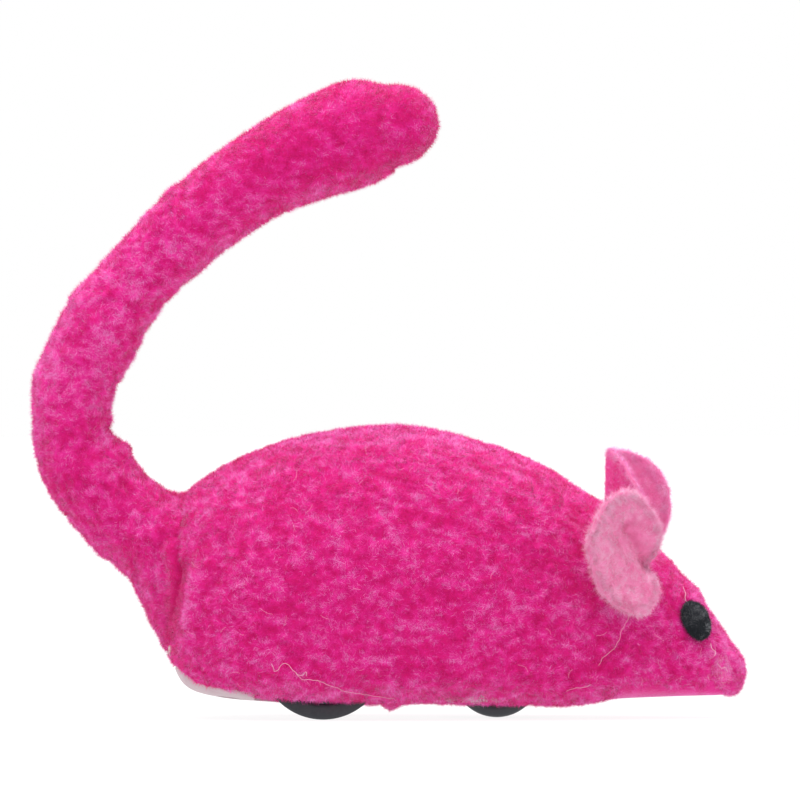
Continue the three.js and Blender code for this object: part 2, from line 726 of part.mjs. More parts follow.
function tailCover() {
  const { x, z } = TAIL_PIVOT;
  const root = ball(TAIL_BALL + GAP, x, 0, z);
  const swing = [-TAIL_SWING, -TAIL_SWING / 2, TAIL_SWING / 2, TAIL_SWING].map(swungBody);
  return cut(tailTube(0, 22, 14), root, bodyForm(-1.5), ...swing, tailTube(FLEECE, 22, 10));
}

function tailStuffing() {
  const { x, z } = TAIL_PIVOT;
  const root = ball(TAIL_BALL + 2 * GAP, x, 0, z, 16);
  return cut(tailTube(FLEECE + GAP, 22, 10), root, wireRod(WIRE_RADIUS + GAP, 1));
}

const wirePath = new THREE.CatmullRomCurve3(
  [...WIRE_ROOT, ...TAIL_LINE.slice(3)].map(([x, z]) => new THREE.Vector3(x, 0, z)),
  false,
  "centripetal",
);

// A round bar along the wire's line, which runs on past its end by extra.
function wireRod(radius, extra = 0) {
  const steps = 24;
  const rings = [];
  for (let i = 0; i <= steps; i++) {
    const along = wirePath.getTangent(i / steps);
    const centre = wirePath.getPoint(i / steps).addScaledVector(along, i === steps ? extra : 0);
    rings.push(tailRing(centre, along, radius, 6));
  }
  return solid(loft(rings));
}

// The bendable wire: an eye round the tail's screw, then up the middle of the tail.
function tailWire() {
  const { x, z } = TAIL_PIVOT;
  const eye = solid(new THREE.TorusGeometry(2.1, WIRE_RADIUS, 6, 16).translate(x, 0, z));
  return join(wireRod(WIRE_RADIUS), eye);
}

function tailScrew() {
  const { x, z } = TAIL_PIVOT;
  return screw(x, 0, z + 1.9, z - 3.6, { radius: 0.8, head: 2.0, headDepth: 0.9 });
}

// ---------------------------------------------------------------- ears and eyes
// A felt disc, dished about its long axis. flare turns it out from the head, lean tips it forward.
const EAR = { half: 8.9, thickness: 1.1 };

function ear({ x, y, z, flare, lean, tip, dish, foot }) {
  const side = Math.sign(y);
  const sides = 20;
  const steps = 3;
  const across = new THREE.Vector3(Math.cos(flare), -side * Math.sin(flare), 0);
  const out = new THREE.Vector3(Math.sin(flare), side * Math.cos(flare), 0);
  const up = new THREE.Vector3(-Math.sin(lean), 0, Math.cos(lean));
  up.addScaledVector(out, tip).normalize();
  across.addScaledVector(up, -across.dot(up)).normalize();
  out.crossVectors(across, up).multiplyScalar(-side).normalize();
  const faces = [];
  const points = [];
  const add = (r, a, level) => {
    const u = r * Math.cos(a);
    const v = r * Math.sin(a);
    points.push(
      new THREE.Vector3(x, y, z)
        .addScaledVector(across, EAR.half * u)
        .addScaledVector(up, EAR.half * v)
        .addScaledVector(out, dish * u * u + level * EAR.thickness),
    );
  };
  for (const level of [-0.5, 0.5]) {
    add(0, 0, level);
    for (let r = 1; r <= steps; r++) {
      for (let s = 0; s < sides; s++) add(r / steps, (s / sides) * 2 * Math.PI, level);
    }
  }
  const layer = 1 + steps * sides;
  const at = (level, r, s) => level * layer + 1 + (r - 1) * sides + (s % sides);
  const quad = (a, b, c, d) => faces.push(a, b, c, a, c, d);
  for (let s = 0; s < sides; s++) {
    faces.push(0, at(0, 1, s + 1), at(0, 1, s));
    faces.push(layer, at(1, 1, s), at(1, 1, s + 1));
    for (let r = 1; r < steps; r++) {
      quad(at(0, r, s), at(0, r, s + 1), at(0, r + 1, s + 1), at(0, r + 1, s));
      quad(at(1, r, s), at(1, r + 1, s), at(1, r + 1, s + 1), at(1, r, s + 1));
    }
    quad(at(0, steps, s), at(0, steps, s + 1), at(1, steps, s + 1), at(1, steps, s));
  }
  // The faces were wound for a right-handed set of directions, and the other ear's set is left-handed.
  const rightHanded = across.clone().cross(up).dot(out) > 0;
  const made = new THREE.BufferGeometry().setFromPoints(points);
  made.setIndex(rightHanded ? faces : faces.reverse());
  // Its foot is glued to the fleece.
  const root = new THREE.Vector3(x, y, z)
    .addScaledVector(across, EAR.half * foot[0])
    .addScaledVector(up, EAR.half * foot[1])
    .addScaledVector(out, dish * foot[0] ** 2);
  return solid(made).add(ball(foot[2], root.x, root.y, root.z, 10)).subtract(bodyForm(-GAP));
}

const EARS = {
  right: { x: 31.2, y: -15.7, z: 22.6, flare: 0.97, lean: 0.14, tip: 0, dish: 1.8, foot: [0.75, -0.5, 2] },
  left: { x: 33.4, y: 12.0, z: 28.3, flare: 1.08, lean: 0.1, tip: -0.1, dish: 2.4, foot: [0.3, -0.8, 2] },
};

// Where an eye sits on the side of the head, and the way that it faces.
const EYE = { x: 42.4, z: 13.2, half: 2.1, tall: 2.8, depth: 1.5 };

function eyeSeat(side, grow) {
  const disc = new THREE.SphereGeometry(1, 16, 8);
  disc.scale(EYE.half + grow, EYE.depth + grow, EYE.tall + grow);
  disc.rotateY(0.3);
  disc.rotateZ(-side * 0.55);
  return solid(disc.translate(EYE.x, side * 6.5, EYE.z));
}

// ---------------------------------------------------------------- assembly
const root = new THREE.Group();

function add(name, finish, made) {
  const material = new THREE.MeshStandardMaterial(MATERIALS[finish]);
  const mesh = new THREE.Mesh(geometryOf(made), material);
  mesh.name = name;
  root.add(mesh);
}

add("fleece_cover", "fleece", fleeceCover());
add("tail_cover", "fleece", tailCover());
add("tail_stuffing", "wadding", tailStuffing());
add("tail_wire", "steel", tailWire());
add("tail_screw", "steel", tailScrew());
add("ear_right", "felt", ear(EARS.right));
add("ear_left", "felt", ear(EARS.left));
const head = bodyForm(SHELL_INSET - GAP);
add("eye_right", "eye", eyeSeat(-1, 0).subtract(head));
add("eye_left", "eye", eyeSeat(1, 0).subtract(head));
add("body_shell", "shell", bodyShell());
add("base_tray", "shell", baseTray());
for (const p of POSTS) {
  const headZ = TRAY_FLOOR.bottom + 0.05 + p.lift;
  add(`base_screw_${p.name}`, "steel", screw(p.x, p.y, headZ, SCREW.top, SCREW));
}

add("motor_plate_right", "plate", motorPlate(-1));
add("motor_plate_left", "plate", motorPlate(1));
for (const p of PILLARS) add(`motor_pillar_${p.name}`, "steel", motorPillar(p));
for (const f of FEET) {
  const top = FOOT.top + FOOT_SCREW.headDepth + PRESS_GAP;
  add(`motor_screw_${f.name}`, "steel", screw(f.x, f.y, top, TRAY_FLOOR.bottom + 0.6, FOOT_SCREW));
}

add("mainspring", "spring", mainspring());
add("winding_arbor", "steel", barY(WINDING.radius, -8.9, 23, WINDING.x, WINDING.z));
add("ratchet_wheel", "steel", ratchetWheel());
add("winding_key", "shell", windingKey());
add("great_wheel", "gear", greatWheel());
add("click", "steel", click());
add("click_spring", "spring", clickSpring());
add("second_arbor", "steel", barY(SECOND.radius, -8.7, 8.7, SECOND.x, SECOND.z));
const toAxle = bearing(SECOND, REAR_AXLE);
const toWinding = bearing(SECOND, WINDING);
const secondBore = SECOND.radius + PRESS_GAP;
add("second_wheel", "gear", gear(TEETH.second, toAxle, LAYERS.second, SECOND, secondBore));
add(
  "second_pinion",
  "gear",
  gear(TEETH.secondPinion, toWinding + halfTooth(TEETH.secondPinion), SECOND_PINION, SECOND, secondBore),
);
add(
  "axle_pinion",
  "gear",
  gear(
    TEETH.axlePinion,
    toAxle + Math.PI + halfTooth(TEETH.axlePinion),
    [LAYERS.second[0] - 0.2, LAYERS.second[1] + 0.2],
    REAR_AXLE,
    REAR_AXLE.radius + PRESS_GAP,
  ),
);

const axle = ({ radius, half, x, z }) => barY(radius, -half, half, x, z);
add("rear_axle", "steel", axle(REAR_AXLE));
for (const [name, side] of [["right", -1], ["left", 1]]) {
  add(`rear_wheel_${name}`, "wheel", wheelHub(side));
  add(`rear_tyre_${name}`, "tyre", tyre(side));
}
add("front_axle", "steel", axle(FRONT_AXLE));
add("front_wheel", "wheel", frontWheel());

export default root;
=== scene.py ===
import json
import math

import bmesh
import bpy
import numpy as np
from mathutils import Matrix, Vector

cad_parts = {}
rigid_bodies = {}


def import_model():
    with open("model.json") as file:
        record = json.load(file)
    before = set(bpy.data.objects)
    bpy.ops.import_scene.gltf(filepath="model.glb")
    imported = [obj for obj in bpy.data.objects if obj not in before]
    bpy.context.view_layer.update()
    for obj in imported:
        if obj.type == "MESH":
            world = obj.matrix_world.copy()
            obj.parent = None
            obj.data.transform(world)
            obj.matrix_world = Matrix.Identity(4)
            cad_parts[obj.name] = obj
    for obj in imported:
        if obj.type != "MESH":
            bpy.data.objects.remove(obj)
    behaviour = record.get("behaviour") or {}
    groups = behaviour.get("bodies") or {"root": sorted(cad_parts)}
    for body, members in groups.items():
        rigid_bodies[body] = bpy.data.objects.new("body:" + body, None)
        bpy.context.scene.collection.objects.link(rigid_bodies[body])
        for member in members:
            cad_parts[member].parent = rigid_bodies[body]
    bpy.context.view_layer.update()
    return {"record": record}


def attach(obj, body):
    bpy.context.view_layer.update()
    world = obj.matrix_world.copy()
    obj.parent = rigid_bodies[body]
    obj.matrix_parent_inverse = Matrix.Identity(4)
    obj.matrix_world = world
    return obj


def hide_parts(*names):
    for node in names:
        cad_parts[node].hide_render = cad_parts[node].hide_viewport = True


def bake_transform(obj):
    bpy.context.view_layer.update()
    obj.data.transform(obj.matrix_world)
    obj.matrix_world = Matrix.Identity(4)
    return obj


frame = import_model()

# Lengths below are millimetres, and become metres where a mesh is made.
MM = 0.001

# ---- the CAD model's driving numbers
# Stations along the body: x, crown height, keel height, half width, height of the widest line.
BODY_STATIONS = [
    [-31.0, 16.5, 14.5, 0.01, 15.5],
    [-30.7, 22.0, 9.6, 5.4, 15.5],
    [-29.9, 27.0, 6.2, 9.4, 15.5],
    [-28.0, 31.1, 4.0, 13.0, 15.0],
    [-24.0, 34.0, 2.9, 16.4, 14.5],
    [-18.0, 36.9, 2.3, 18.8, 14.0],
    [-10.0, 39.2, 2.0, 20.0, 14.0],
    [0.0, 40.3, 2.0, 20.2, 14.0],
    [9.0, 39.3, 2.0, 19.5, 13.5],
    [18.0, 36.3, 2.0, 17.6, 12.5],
    [26.0, 32.0, 2.2, 14.9, 11.5],
    [33.0, 26.9, 2.6, 12.0, 10.5],
    [39.0, 21.3, 2.8, 9.0, 9.5],
    [43.5, 16.1, 2.9, 6.6, 8.0],
    [47.0, 11.0, 3.0, 4.3, 6.5],
    [48.9, 7.9, 3.4, 2.6, 5.6],
    [49.4, 5.8, 4.8, 0.01, 5.3],
]
CROWN_POWER, KEEL_POWER = 2.2, 4.5
BODY_MIDDLE = np.array([9.2, 0.0, 21.1])
BODY_HALF = np.array([40.2, 20.2, 19.1])
FLEECE = 1.3
SHELL_INSET, SHELL_WALL = 1.6, 1.2
TRAY_BOTTOM, TRAY_FLOOR, TRAY_TOP, TRAY_FRONT = 2.1, 3.6, 6.4, 29.7
REAR_AXLE = (-9.0, 8.7)
FRONT_AXLE = (14.8, 6.2)
WINDING = (-5.0, 25.0)
# The tail's centreline past its root: x, z, radius of the fleece.
TAIL_LINE = [
    [-42.6, 35.5, 6.3],
    [-43.6, 41.0, 5.8],
    [-43.0, 46.4, 5.9],
    [-40.7, 51.3, 6.0],
    [-38.0, 55.9, 5.8],
    [-34.8, 60.0, 5.45],
    [-31.3, 63.7, 5.45],
    [-27.6, 67.6, 5.7],
    [-23.0, 70.9, 5.65],
    [-18.0, 74.3, 5.9],
    [-11.8, 77.4, 6.6],
    [-3.9, 80.5, 7.15],
    [0.3, 81.3, 5.5],
]
TAIL_TIP = 6.3


# ---- numbers and noise
def smooth(x, low, high):
    """0 below low, 1 above high, and an S between them."""
    t = np.clip((np.asarray(x, float) - low) / (high - low), 0, 1)
    return t * t * (3 - 2 * t)


def bump(x, middle, width):
    return np.exp(-(((np.asarray(x, float) - middle) / width) ** 2))


def spline(rows, at):
    """Catmull-Rom through rows, at fractional row numbers."""
    rows = np.asarray(rows, float)
    last = len(rows) - 1
    i = np.clip(np.floor(at).astype(int), 0, last - 1)
    t = (at - i)[:, None]
    a, b, c, d = rows[np.maximum(i - 1, 0)], rows[i], rows[i + 1], rows[np.minimum(i + 2, last)]
    return 0.5 * (2 * b + (c - a) * t + (2 * a - 5 * b + 4 * c - d) * t**2 + (3 * b - a - 3 * c + d) * t**3)


class Noise:
    """Gradient noise, about -1 to 1, from a seeded lattice that repeats every 32 cells."""

    def __init__(self, seed):
        way = np.random.default_rng(seed).normal(size=(32, 32, 32, 3))
        self.way = way / np.linalg.norm(way, axis=-1, keepdims=True)

    def __call__(self, points, size):
        p = np.asarray(points, float) / size + 101.37
        cell = np.floor(p).astype(int)
        f = p - cell
        ease = f**3 * (f * (f * 6 - 15) + 10)
        total = np.zeros(p.shape[:-1])
        for corner in np.ndindex(2, 2, 2):
            at = (cell + corner) % 32
            way = self.way[at[..., 0], at[..., 1], at[..., 2]]
            weight = np.prod(np.where(corner, ease, 1 - ease), axis=-1)
            total += weight * np.sum(way * (f - corner), axis=-1)
        return total * 1.6


noise_a, noise_b, noise_c, noise_d = (Noise(seed) for seed in (11, 23, 37, 51))


def fold_line(z):
    """How far along the body the fold at the rump runs, at height z."""
    return -29.2 + (z - 15.9) * 0.15


def rump_fold(p):
    """How near points are to the fold where the tail's sleeve meets the body, and to the ridge beside it."""
    x, y, z = p[..., 0], np.abs(p[..., 1]), p[..., 2]
    line = fold_line(z) + 0.25 * noise_a(p, 3.0)
    there = smooth(z, 8.6, 11.5) * (1 - smooth(z, 19.5, 23)) * smooth(y, 5, 8)
    return there * bump(x, line, 1.2), there * bump(x, line + 2.2, 1.2)


def tone_marks_and_painted_light(p):
    """Painted shade in the fold at the rump and a painted highlight on the ridge beside it, painted light from
    above that makes the nap paler up high, and the paler, worn muzzle.
    """
    x, y, z = p[..., 0], np.abs(p[..., 1]), p[..., 2]
    # Where the rump's fold is painted: its line darker, a painted shade, and the ridge beside it paler, a
    # painted highlight.
    fold = smooth(z, 9, 13) * (1 - smooth(z, 19, 24)) * smooth(y, 4, 7)
    worn = 0.55 * bump(x, 45.9, 1.1) * bump(z, 6.2, 1.7) + 0.15 * smooth(x, 38, 46)
    # Painted light from above: the nap is painted paler from the body's top up the tail's lower reach and the
    # rear of the back, and a little deeper at the tail's top.
    high = 0.16 * smooth(z, 37, 46) * (1 - smooth(z, 60, 70)) - 0.14 * smooth(z, 70, 77)
    high += 0.2 * smooth(z, 34.5, 39.5) * smooth(x, -24, -18) * (1 - smooth(z, 42, 44))
    line = fold_line(z)
    # The fold's line is painted darker, a painted shade; the ridge 2 mm ahead is painted paler, a painted
    # highlight.
    return high + worn - 0.8 * fold * bump(x, line, 1.0) + 0.22 * fold * bump(x, line + 2.0, 1.1)


def tone_at(points):
    """Where the dyed nap is deep, 0, and where it is pale, 1, in patches of a few millimetres, with painted
    shade at the rump's fold and painted light on the ridge beside it and up high.
    """
    wide = noise_a(points, 4.6)
    patches = noise_b(points * [0.75, 1, 1.2], 1.9)
    specks = noise_c(points * [0.72, 1, 1.25], 0.85)
    return np.clip(0.45 + 0.18 * wide + 0.38 * patches + 0.42 * specks + tone_marks_and_painted_light(points), 0, 1)


def unit(v):
    return v / np.maximum(np.linalg.norm(v, axis=-1, keepdims=True), 1e-12)


def grid_normals(points, wrap=False):
    """Normals of a grid of points, rows by columns. wrap joins the last column to the first."""
    if wrap:
        wide = np.concatenate([points[:, -1:], points, points[:, :1]], axis=1)
        across = np.gradient(wide, axis=1)[:, 1:-1]
    else:
        across = np.gradient(points, axis=1)
    along = np.gradient(points, axis=0)
    return unit(np.cross(along, across))


def grid_faces(rows, columns, wrap=False, first=0):
    r, c = np.meshgrid(np.arange(rows - 1), np.arange(columns if wrap else columns - 1), indexing="ij")
    d = (c + 1) % columns
    quads = np.stack([r * columns + c, (r + 1) * columns + c, (r + 1) * columns + d, r * columns + d], -1)
    return quads.reshape(-1, 4) + first


# ---- meshes
def make(name, points, faces, materials, index=None, flat=False, merge=0.0, turn=False):
    """An object from points in millimetres and faces, an array or a list. index gives each face's material."""
    points = np.asarray(points, float).reshape(-1, 3) * MM
    mesh = bpy.data.meshes.new(name)
    if isinstance(faces, np.ndarray):
        count, sides = faces.shape
        mesh.vertices.add(len(points))
        mesh.vertices.foreach_set("co", points.ravel().astype(np.float32))
        mesh.loops.add(count * sides)
        mesh.loops.foreach_set("vertex_index", faces.ravel().astype(np.int32))
        mesh.polygons.add(count)
        mesh.polygons.foreach_set("loop_start", np.arange(0, count * sides, sides, dtype=np.int32))
    else:
        mesh.from_pydata(points.tolist(), [], [tuple(int(i) for i in f) for f in faces])
    for m in materials if isinstance(materials, (list, tuple)) else [materials]:
        mesh.materials.append(m)
    if index is not None:
        mesh.polygons.foreach_set("material_index", np.asarray(index, np.int32))
    mesh.update(calc_edges=True)
    mesh.validate()
    mesh.polygons.foreach_set("use_smooth", np.full(len(mesh.polygons), not flat))
    obj = bpy.data.objects.new(name, mesh)
    bpy.context.scene.collection.objects.link(obj)
    if merge or turn:
        bm = bmesh.new()
        bm.from_mesh(mesh)
        if merge:
            bmesh.ops.remove_doubles(bm, verts=bm.verts, dist=merge * MM)
        if turn:
            bmesh.ops.recalc_face_normals(bm, faces=bm.faces)
        bm.to_mesh(mesh)
        bm.free()
    return obj


def mark(obj, name, values):
    """A number on each vertex, which the materials read."""
    attribute = obj.data.attributes.new(name, "FLOAT", "POINT")
    attribute.data.foreach_set("value", np.asarray(values, np.float32).ravel())


def lathe(name, profile, x, z, material, segments=96):
    """A closed profile of (radius, y) turned about an axis along y."""
    profile = np.asarray(profile, float)
    a = np.linspace(0, 2 * np.pi, segments, endpoint=False)
    ring = np.stack([np.cos(a), np.zeros_like(a), np.sin(a)], -1)
    points = profile[:, 0, None, None] * ring[None]
    points[..., 1] = profile[:, 1, None]
    points = np.concatenate([points, points[:1]]) + np.array([x, 0, z])
    return make(name, points, grid_faces(len(points), segments, wrap=True), material, merge=0.0005, turn=True)


def tube(name, path, radius, material, sides=6):
    """A thin tube along a path of points, tapered at both ends."""
    keys = np.asarray(path, float)
    at = np.linspace(0, len(keys) - 1, 10 * len(keys))
    line = spline(keys, at)
    line = line + np.stack([noise_a(line, 0.8), 0 * at, noise_b(line, 0.8)], -1) * 0.14
    way = unit(np.gradient(line, axis=0))
    side = unit(np.cross(way, [0.2, 1.0, 0.3]))
    other = np.cross(way, side)
    a = np.linspace(0, 2 * np.pi, sides, endpoint=False)
    taper = np.minimum(1, np.minimum(at, at[-1] - at) * 3 + 0.25)[:, None, None]
    ring = np.cos(a)[None, :, None] * side[:, None] + np.sin(a)[None, :, None] * other[:, None]
    points = line[:, None] + ring * radius * taper
    faces = grid_faces(len(line), sides, wrap=True).tolist()
    faces += [list(range(sides)), [len(line) * sides - 1 - s for s in range(sides)]]
    return make(name, points, faces, material, turn=True)


# ---- materials
def shader(name):
    material = bpy.data.materials.new(name)
    material.use_nodes = True
    return material, material.node_tree, material.node_tree.nodes["Principled BSDF"]


def fix(node, values):
    """Sets a node's inputs, by name."""
    for name, value in values.items():
        node.inputs[name].default_value = value


def noise_node(tree, size, detail=2.0, stretch=(1, 1, 1), roughness=0.5, distortion=0.0):
    """Noise whose features are about size millimetres."""
    where = tree.nodes.new("ShaderNodeTexCoord")
    scale = tree.nodes.new("ShaderNodeMapping")
    fix(scale, {"Scale": stretch})
    made = tree.nodes.new("ShaderNodeTexNoise")
    fix(made, {"Scale": 1 / (size * MM), "Detail": detail, "Roughness": roughness, "Distortion": distortion})
    tree.links.new(where.outputs["Object"], scale.inputs["Vector"])
    tree.links.new(scale.outputs["Vector"], made.inputs["Vector"])
    return made.outputs["Fac"]


def ramp(tree, value, stops):
    """A colour ramp. A stop is a place from 0 to 1 and a colour, or one number for a grey."""
    made = tree.nodes.new("ShaderNodeValToRGB")
    elements = made.color_ramp.elements
    elements.remove(elements[1])
    for i, (at, colour) in enumerate(stops):
        element = elements[0] if i == 0 else elements.new(at)
        element.position = at
        element.color = (*np.broadcast_to(colour, 3).tolist(), 1)
    tree.links.new(value, made.inputs["Fac"])
    return made.outputs["Color"]


def ramped(tree, bsdf, socket, value, stops):
    """Drives one of the shader's inputs from a value, through a ramp."""
    tree.links.new(ramp(tree, value, stops), bsdf.inputs[socket])


def mix(tree, fac, a, b):
    """From the colour a towards the plain colour b."""
    made = tree.nodes.new("ShaderNodeMix")
    made.data_type = "RGBA"
    tree.links.new(fac, made.inputs["Factor"])
    tree.links.new(a, made.inputs["A"])
    made.inputs["B"].default_value = (*b, 1)
    return made.outputs["Result"]


def maths(tree, how, *values):
    made = tree.nodes.new("ShaderNodeMath")
    made.operation = how
    for socket, value in zip(made.inputs, values):
        if isinstance(value, bpy.types.NodeSocket):
            tree.links.new(value, socket)
        else:
            socket.default_value = value
    return made.outputs["Value"]


def bumped(tree, bsdf, height, distance, strength=1.0):
    made = tree.nodes.new("ShaderNodeBump")
    fix(made, {"Distance": distance * MM, "Strength": strength})
    tree.links.new(height, made.inputs["Height"])
    tree.links.new(made.outputs["Normal"], bsdf.inputs["Normal"])


def soft(bsdf, sheen, tint):
    """A fabric's dull face and fuzzy outline."""
    fix(bsdf, {"Specular IOR Level": 0.12, "Sheen Weight": sheen, "Sheen Roughness": 0.45})
    fix(bsdf, {"Sheen Tint": (*tint, 1)})


DEEP, MIDDLE, LIGHT, PALE = (
    (0.66, 0.006, 0.175),
    (0.76, 0.012, 0.25),
    (0.86, 0.045, 0.37),
    (0.93, 0.16, 0.54),
)
PINK_SHEEN, EAR_SHEEN = (1, 0.48, 0.86), (1, 0.8, 0.9)


def fleece_material():
    """Dyed fleece. Its tone and the height of its nap are numbers on the mesh; the tone carries painted shade
    and light, and the nap's height paints the puffs paler and the dips deeper, a painted shade.
    """
    material, tree, bsdf = shader("fleece")
    tone, nap = (tree.nodes.new("ShaderNodeAttribute") for _ in range(2))
    tone.attribute_name, nap.attribute_name = "tone", "nap"
    fine = noise_node(tree, 0.45, 3, roughness=0.65)
    wisps = noise_node(tree, 0.7, 4, stretch=(0.35, 1.4, 1.2), roughness=0.7, distortion=1.5)
    value = maths(tree, "MULTIPLY_ADD", tone.outputs["Fac"], 0.72, 0.02)
    # Painted light on the relief: the colour is paler where the nap stands high and deeper in its dips.
    value = maths(tree, "MULTIPLY_ADD", nap.outputs["Fac"], 0.22, value)
    value = maths(tree, "ADD", value, maths(tree, "MULTIPLY_ADD", fine, 0.5, -0.22))
    colour = ramp(tree, value, [(0.12, DEEP), (0.45, MIDDLE), (0.8, LIGHT), (1.0, PALE)])
    pale = ramp(tree, wisps, [(0.58, 0.0), (0.76, 0.22)])
    tree.links.new(mix(tree, pale, colour, (0.88, 0.24, 0.50)), bsdf.inputs["Base Color"])
    ramped(tree, bsdf, "Roughness", fine, [(0.3, 0.86), (0.7, 0.98)])
    bumped(tree, bsdf, maths(tree, "ADD", fine, maths(tree, "MULTIPLY", wisps, 0.8)), 0.16, 0.8)
    soft(bsdf, 1.0, PINK_SHEEN)
    return material


def plain_fibre(name, colour, sheen=1.0, tint=PINK_SHEEN):
    material, _, bsdf = shader(name)
    fix(bsdf, {"Base Color": (*colour, 1), "Roughness": 0.85})
    soft(bsdf, sheen, tint)
    return material


def fibre_set(start, tint=PINK_SHEEN, **colours):
    """Fibre materials from deep to pale."""
    return [plain_fibre(f"{start}_{tone}", colour, tint=tint) for tone, colour in colours.items()]


def felt_material(name, deep, middle, light, hairs, tint=(1, 0.85, 0.92), scale=1.0):
    """Pressed wool: cloudy colour, short crossing fibres and a soft relief."""
    material, tree, bsdf = shader(name)
    cloud = noise_node(tree, 2.4 * scale, 3)
    fine = noise_node(tree, 0.32 * scale, 4, roughness=0.7, distortion=0.6)
    one, two = (
        noise_node(tree, 0.5 * scale, 3, stretch=stretch, roughness=0.7, distortion=1.2)
        for stretch in ((0.3, 1.6, 1.1), (1.5, 0.5, 0.3))
    )
    value = maths(tree, "MULTIPLY_ADD", cloud, 0.9, -0.2)
    value = maths(tree, "ADD", value, maths(tree, "MULTIPLY_ADD", fine, 0.7, -0.2))
    colour = ramp(tree, value, [(0.15, deep), (0.5, middle), (0.85, light)])
    strands = maths(tree, "MAXIMUM", one, two)
    pale = ramp(tree, strands, [(0.6, 0.0), (0.76, 0.5)])
    tree.links.new(mix(tree, pale, colour, hairs), bsdf.inputs["Base Color"])
    ramped(tree, bsdf, "Roughness", fine, [(0.3, 0.85), (0.7, 0.97)])
    bumped(tree, bsdf, maths(tree, "ADD", fine, strands), 0.13, 0.8)
    soft(bsdf, 0.3, tint)
    return material


def plastic(name, colour, other, rough=(0.32, 0.5), scatter=0.0):
    """Moulded plastic: a faint mottle, a fine satin grain and light scuffs."""
    material, tree, bsdf = shader(name)
    mottle, grain = noise_node(tree, 5, 3), noise_node(tree, 0.16, 2)
    scuffs = noise_node(tree, 1.1, 4, stretch=(0.2, 1.5, 1.3), roughness=0.75)
    ramped(tree, bsdf, "Base Color", mottle, [(0.3, colour), (0.75, other)])
    ramped(tree, bsdf, "Roughness", scuffs, [(0.35, rough[0]), (0.75, rough[1])])
    bumped(tree, bsdf, maths(tree, "MULTIPLY_ADD", scuffs, 0.6, grain), 0.012, 0.7)
    fix(bsdf, {"Specular IOR Level": 0.5})
    if scatter:
        fix(bsdf, {"Subsurface Weight": scatter, "Subsurface Radius": (1.0, 0.9, 0.85)})
        fix(bsdf, {"Subsurface Scale": 0.0012})
    return material


def rubber_material():
    material, tree, bsdf = shader("tyre_rubber")
    dust, grain = noise_node(tree, 1.3, 5, roughness=0.7), noise_node(tree, 0.14, 3)
    black, grey = (0.018, 0.020, 0.026), (0.045, 0.048, 0.055)
    ramped(tree, bsdf, "Base Color", dust, [(0.35, black), (0.72, grey)])
    ramped(tree, bsdf, "Roughness", dust, [(0.3, 0.5), (0.7, 0.78)])
    bumped(tree, bsdf, grain, 0.02, 0.8)
    fix(bsdf, {"Specular IOR Level": 0.45})
    return material


def metal(name, colour, other, rough, stretch):
    """Drawn, rolled or blued steel, by its colours and the way its marks run."""
    material, tree, bsdf = shader(name)
    marks = noise_node(tree, 0.5, 4, stretch=stretch, roughness=0.7)
    ramped(tree, bsdf, "Base Color", noise_node(tree, 4.0, 3), [(0.35, colour), (0.7, other)])
    ramped(tree, bsdf, "Roughness", marks, [(0.3, rough[0]), (0.7, rough[1])])
    bumped(tree, bsdf, marks, 0.01, 0.6)
    fix(bsdf, {"Metallic": 1.0})
    return material


def wadding_material():
    material, tree, bsdf = shader("wadding")
    puffs = noise_node(tree, 2.2, 5, roughness=0.7, distortion=0.8)
    ramped(tree, bsdf, "Base Color", puffs, [(0.3, (0.74, 0.70, 0.64)), (0.7, (0.92, 0.90, 0.86))])
    ramped(tree, bsdf, "Roughness", puffs, [(0.3, 0.9), (0.7, 1.0)])
    bumped(tree, bsdf, puffs, 0.5)
    soft(bsdf, 0.2, (1, 1, 1))
    return material


def glue_material():
    material, tree, bsdf = shader("dried_glue")
    cloud = noise_node(tree, 0.6, 3)
    ramped(tree, bsdf, "Base Color", cloud, [(0.35, (0.52, 0.36, 0.33)), (0.65, (0.80, 0.70, 0.70))])
    ramped(tree, bsdf, "Roughness", cloud, [(0.3, 0.25), (0.7, 0.5)])
    bumped(tree, bsdf, cloud, 0.05)
    fix(bsdf, {"Subsurface Weight": 0.3, "Subsurface Scale": 0.0006})
    return material


fleece = fleece_material()
fibres = fibre_set(
    "fibre",
    deep=(0.76, 0.005, 0.19),
    middle=(0.83, 0.012, 0.28),
    light=(0.89, 0.062, 0.43),
    pale=(0.93, 0.25, 0.64),
)
ear_pale = felt_material(
    "felt_pale", (0.88, 0.17, 0.42), (0.93, 0.27, 0.53), (0.95, 0.36, 0.61), (0.96, 0.55, 0.74)
)
ear_deep = felt_material(
    "felt_deep", (0.90, 0.05, 0.35), (0.95, 0.10, 0.47), (0.96, 0.18, 0.55), (0.97, 0.40, 0.68)
)
eye_felt = felt_material(
    "felt_charcoal",
    (0.008, 0.009, 0.012),
    (0.020, 0.022, 0.028),
    (0.045, 0.048, 0.055),
    (0.16, 0.16, 0.17),
    (0.8, 0.85, 1.0),
    0.8,
)
tray_plastic = plastic("frosted_plastic", (0.50, 0.335, 0.385), (0.60, 0.46, 0.50), (0.35, 0.55), scatter=0.3)
white_plastic = plastic("white_plastic", (0.50, 0.48, 0.485), (0.58, 0.56, 0.565), scatter=0.3)
wheel_plastic = plastic("wheel_plastic", (0.018, 0.020, 0.027), (0.03, 0.033, 0.04), (0.28, 0.45))
gear_plastic = plastic("gear_plastic", (0.80, 0.77, 0.66), (0.88, 0.86, 0.78), (0.35, 0.5), 0.2)
tyre_rubber = rubber_material()
plate_steel = metal("plate_steel", (0.56, 0.57, 0.59), (0.66, 0.67, 0.69), (0.25, 0.45), (0.08, 1, 1.5))
bright_steel = metal("bright_steel", (0.52, 0.53, 0.55), (0.62, 0.63, 0.65), (0.16, 0.34), (1.2, 0.1, 1.2))
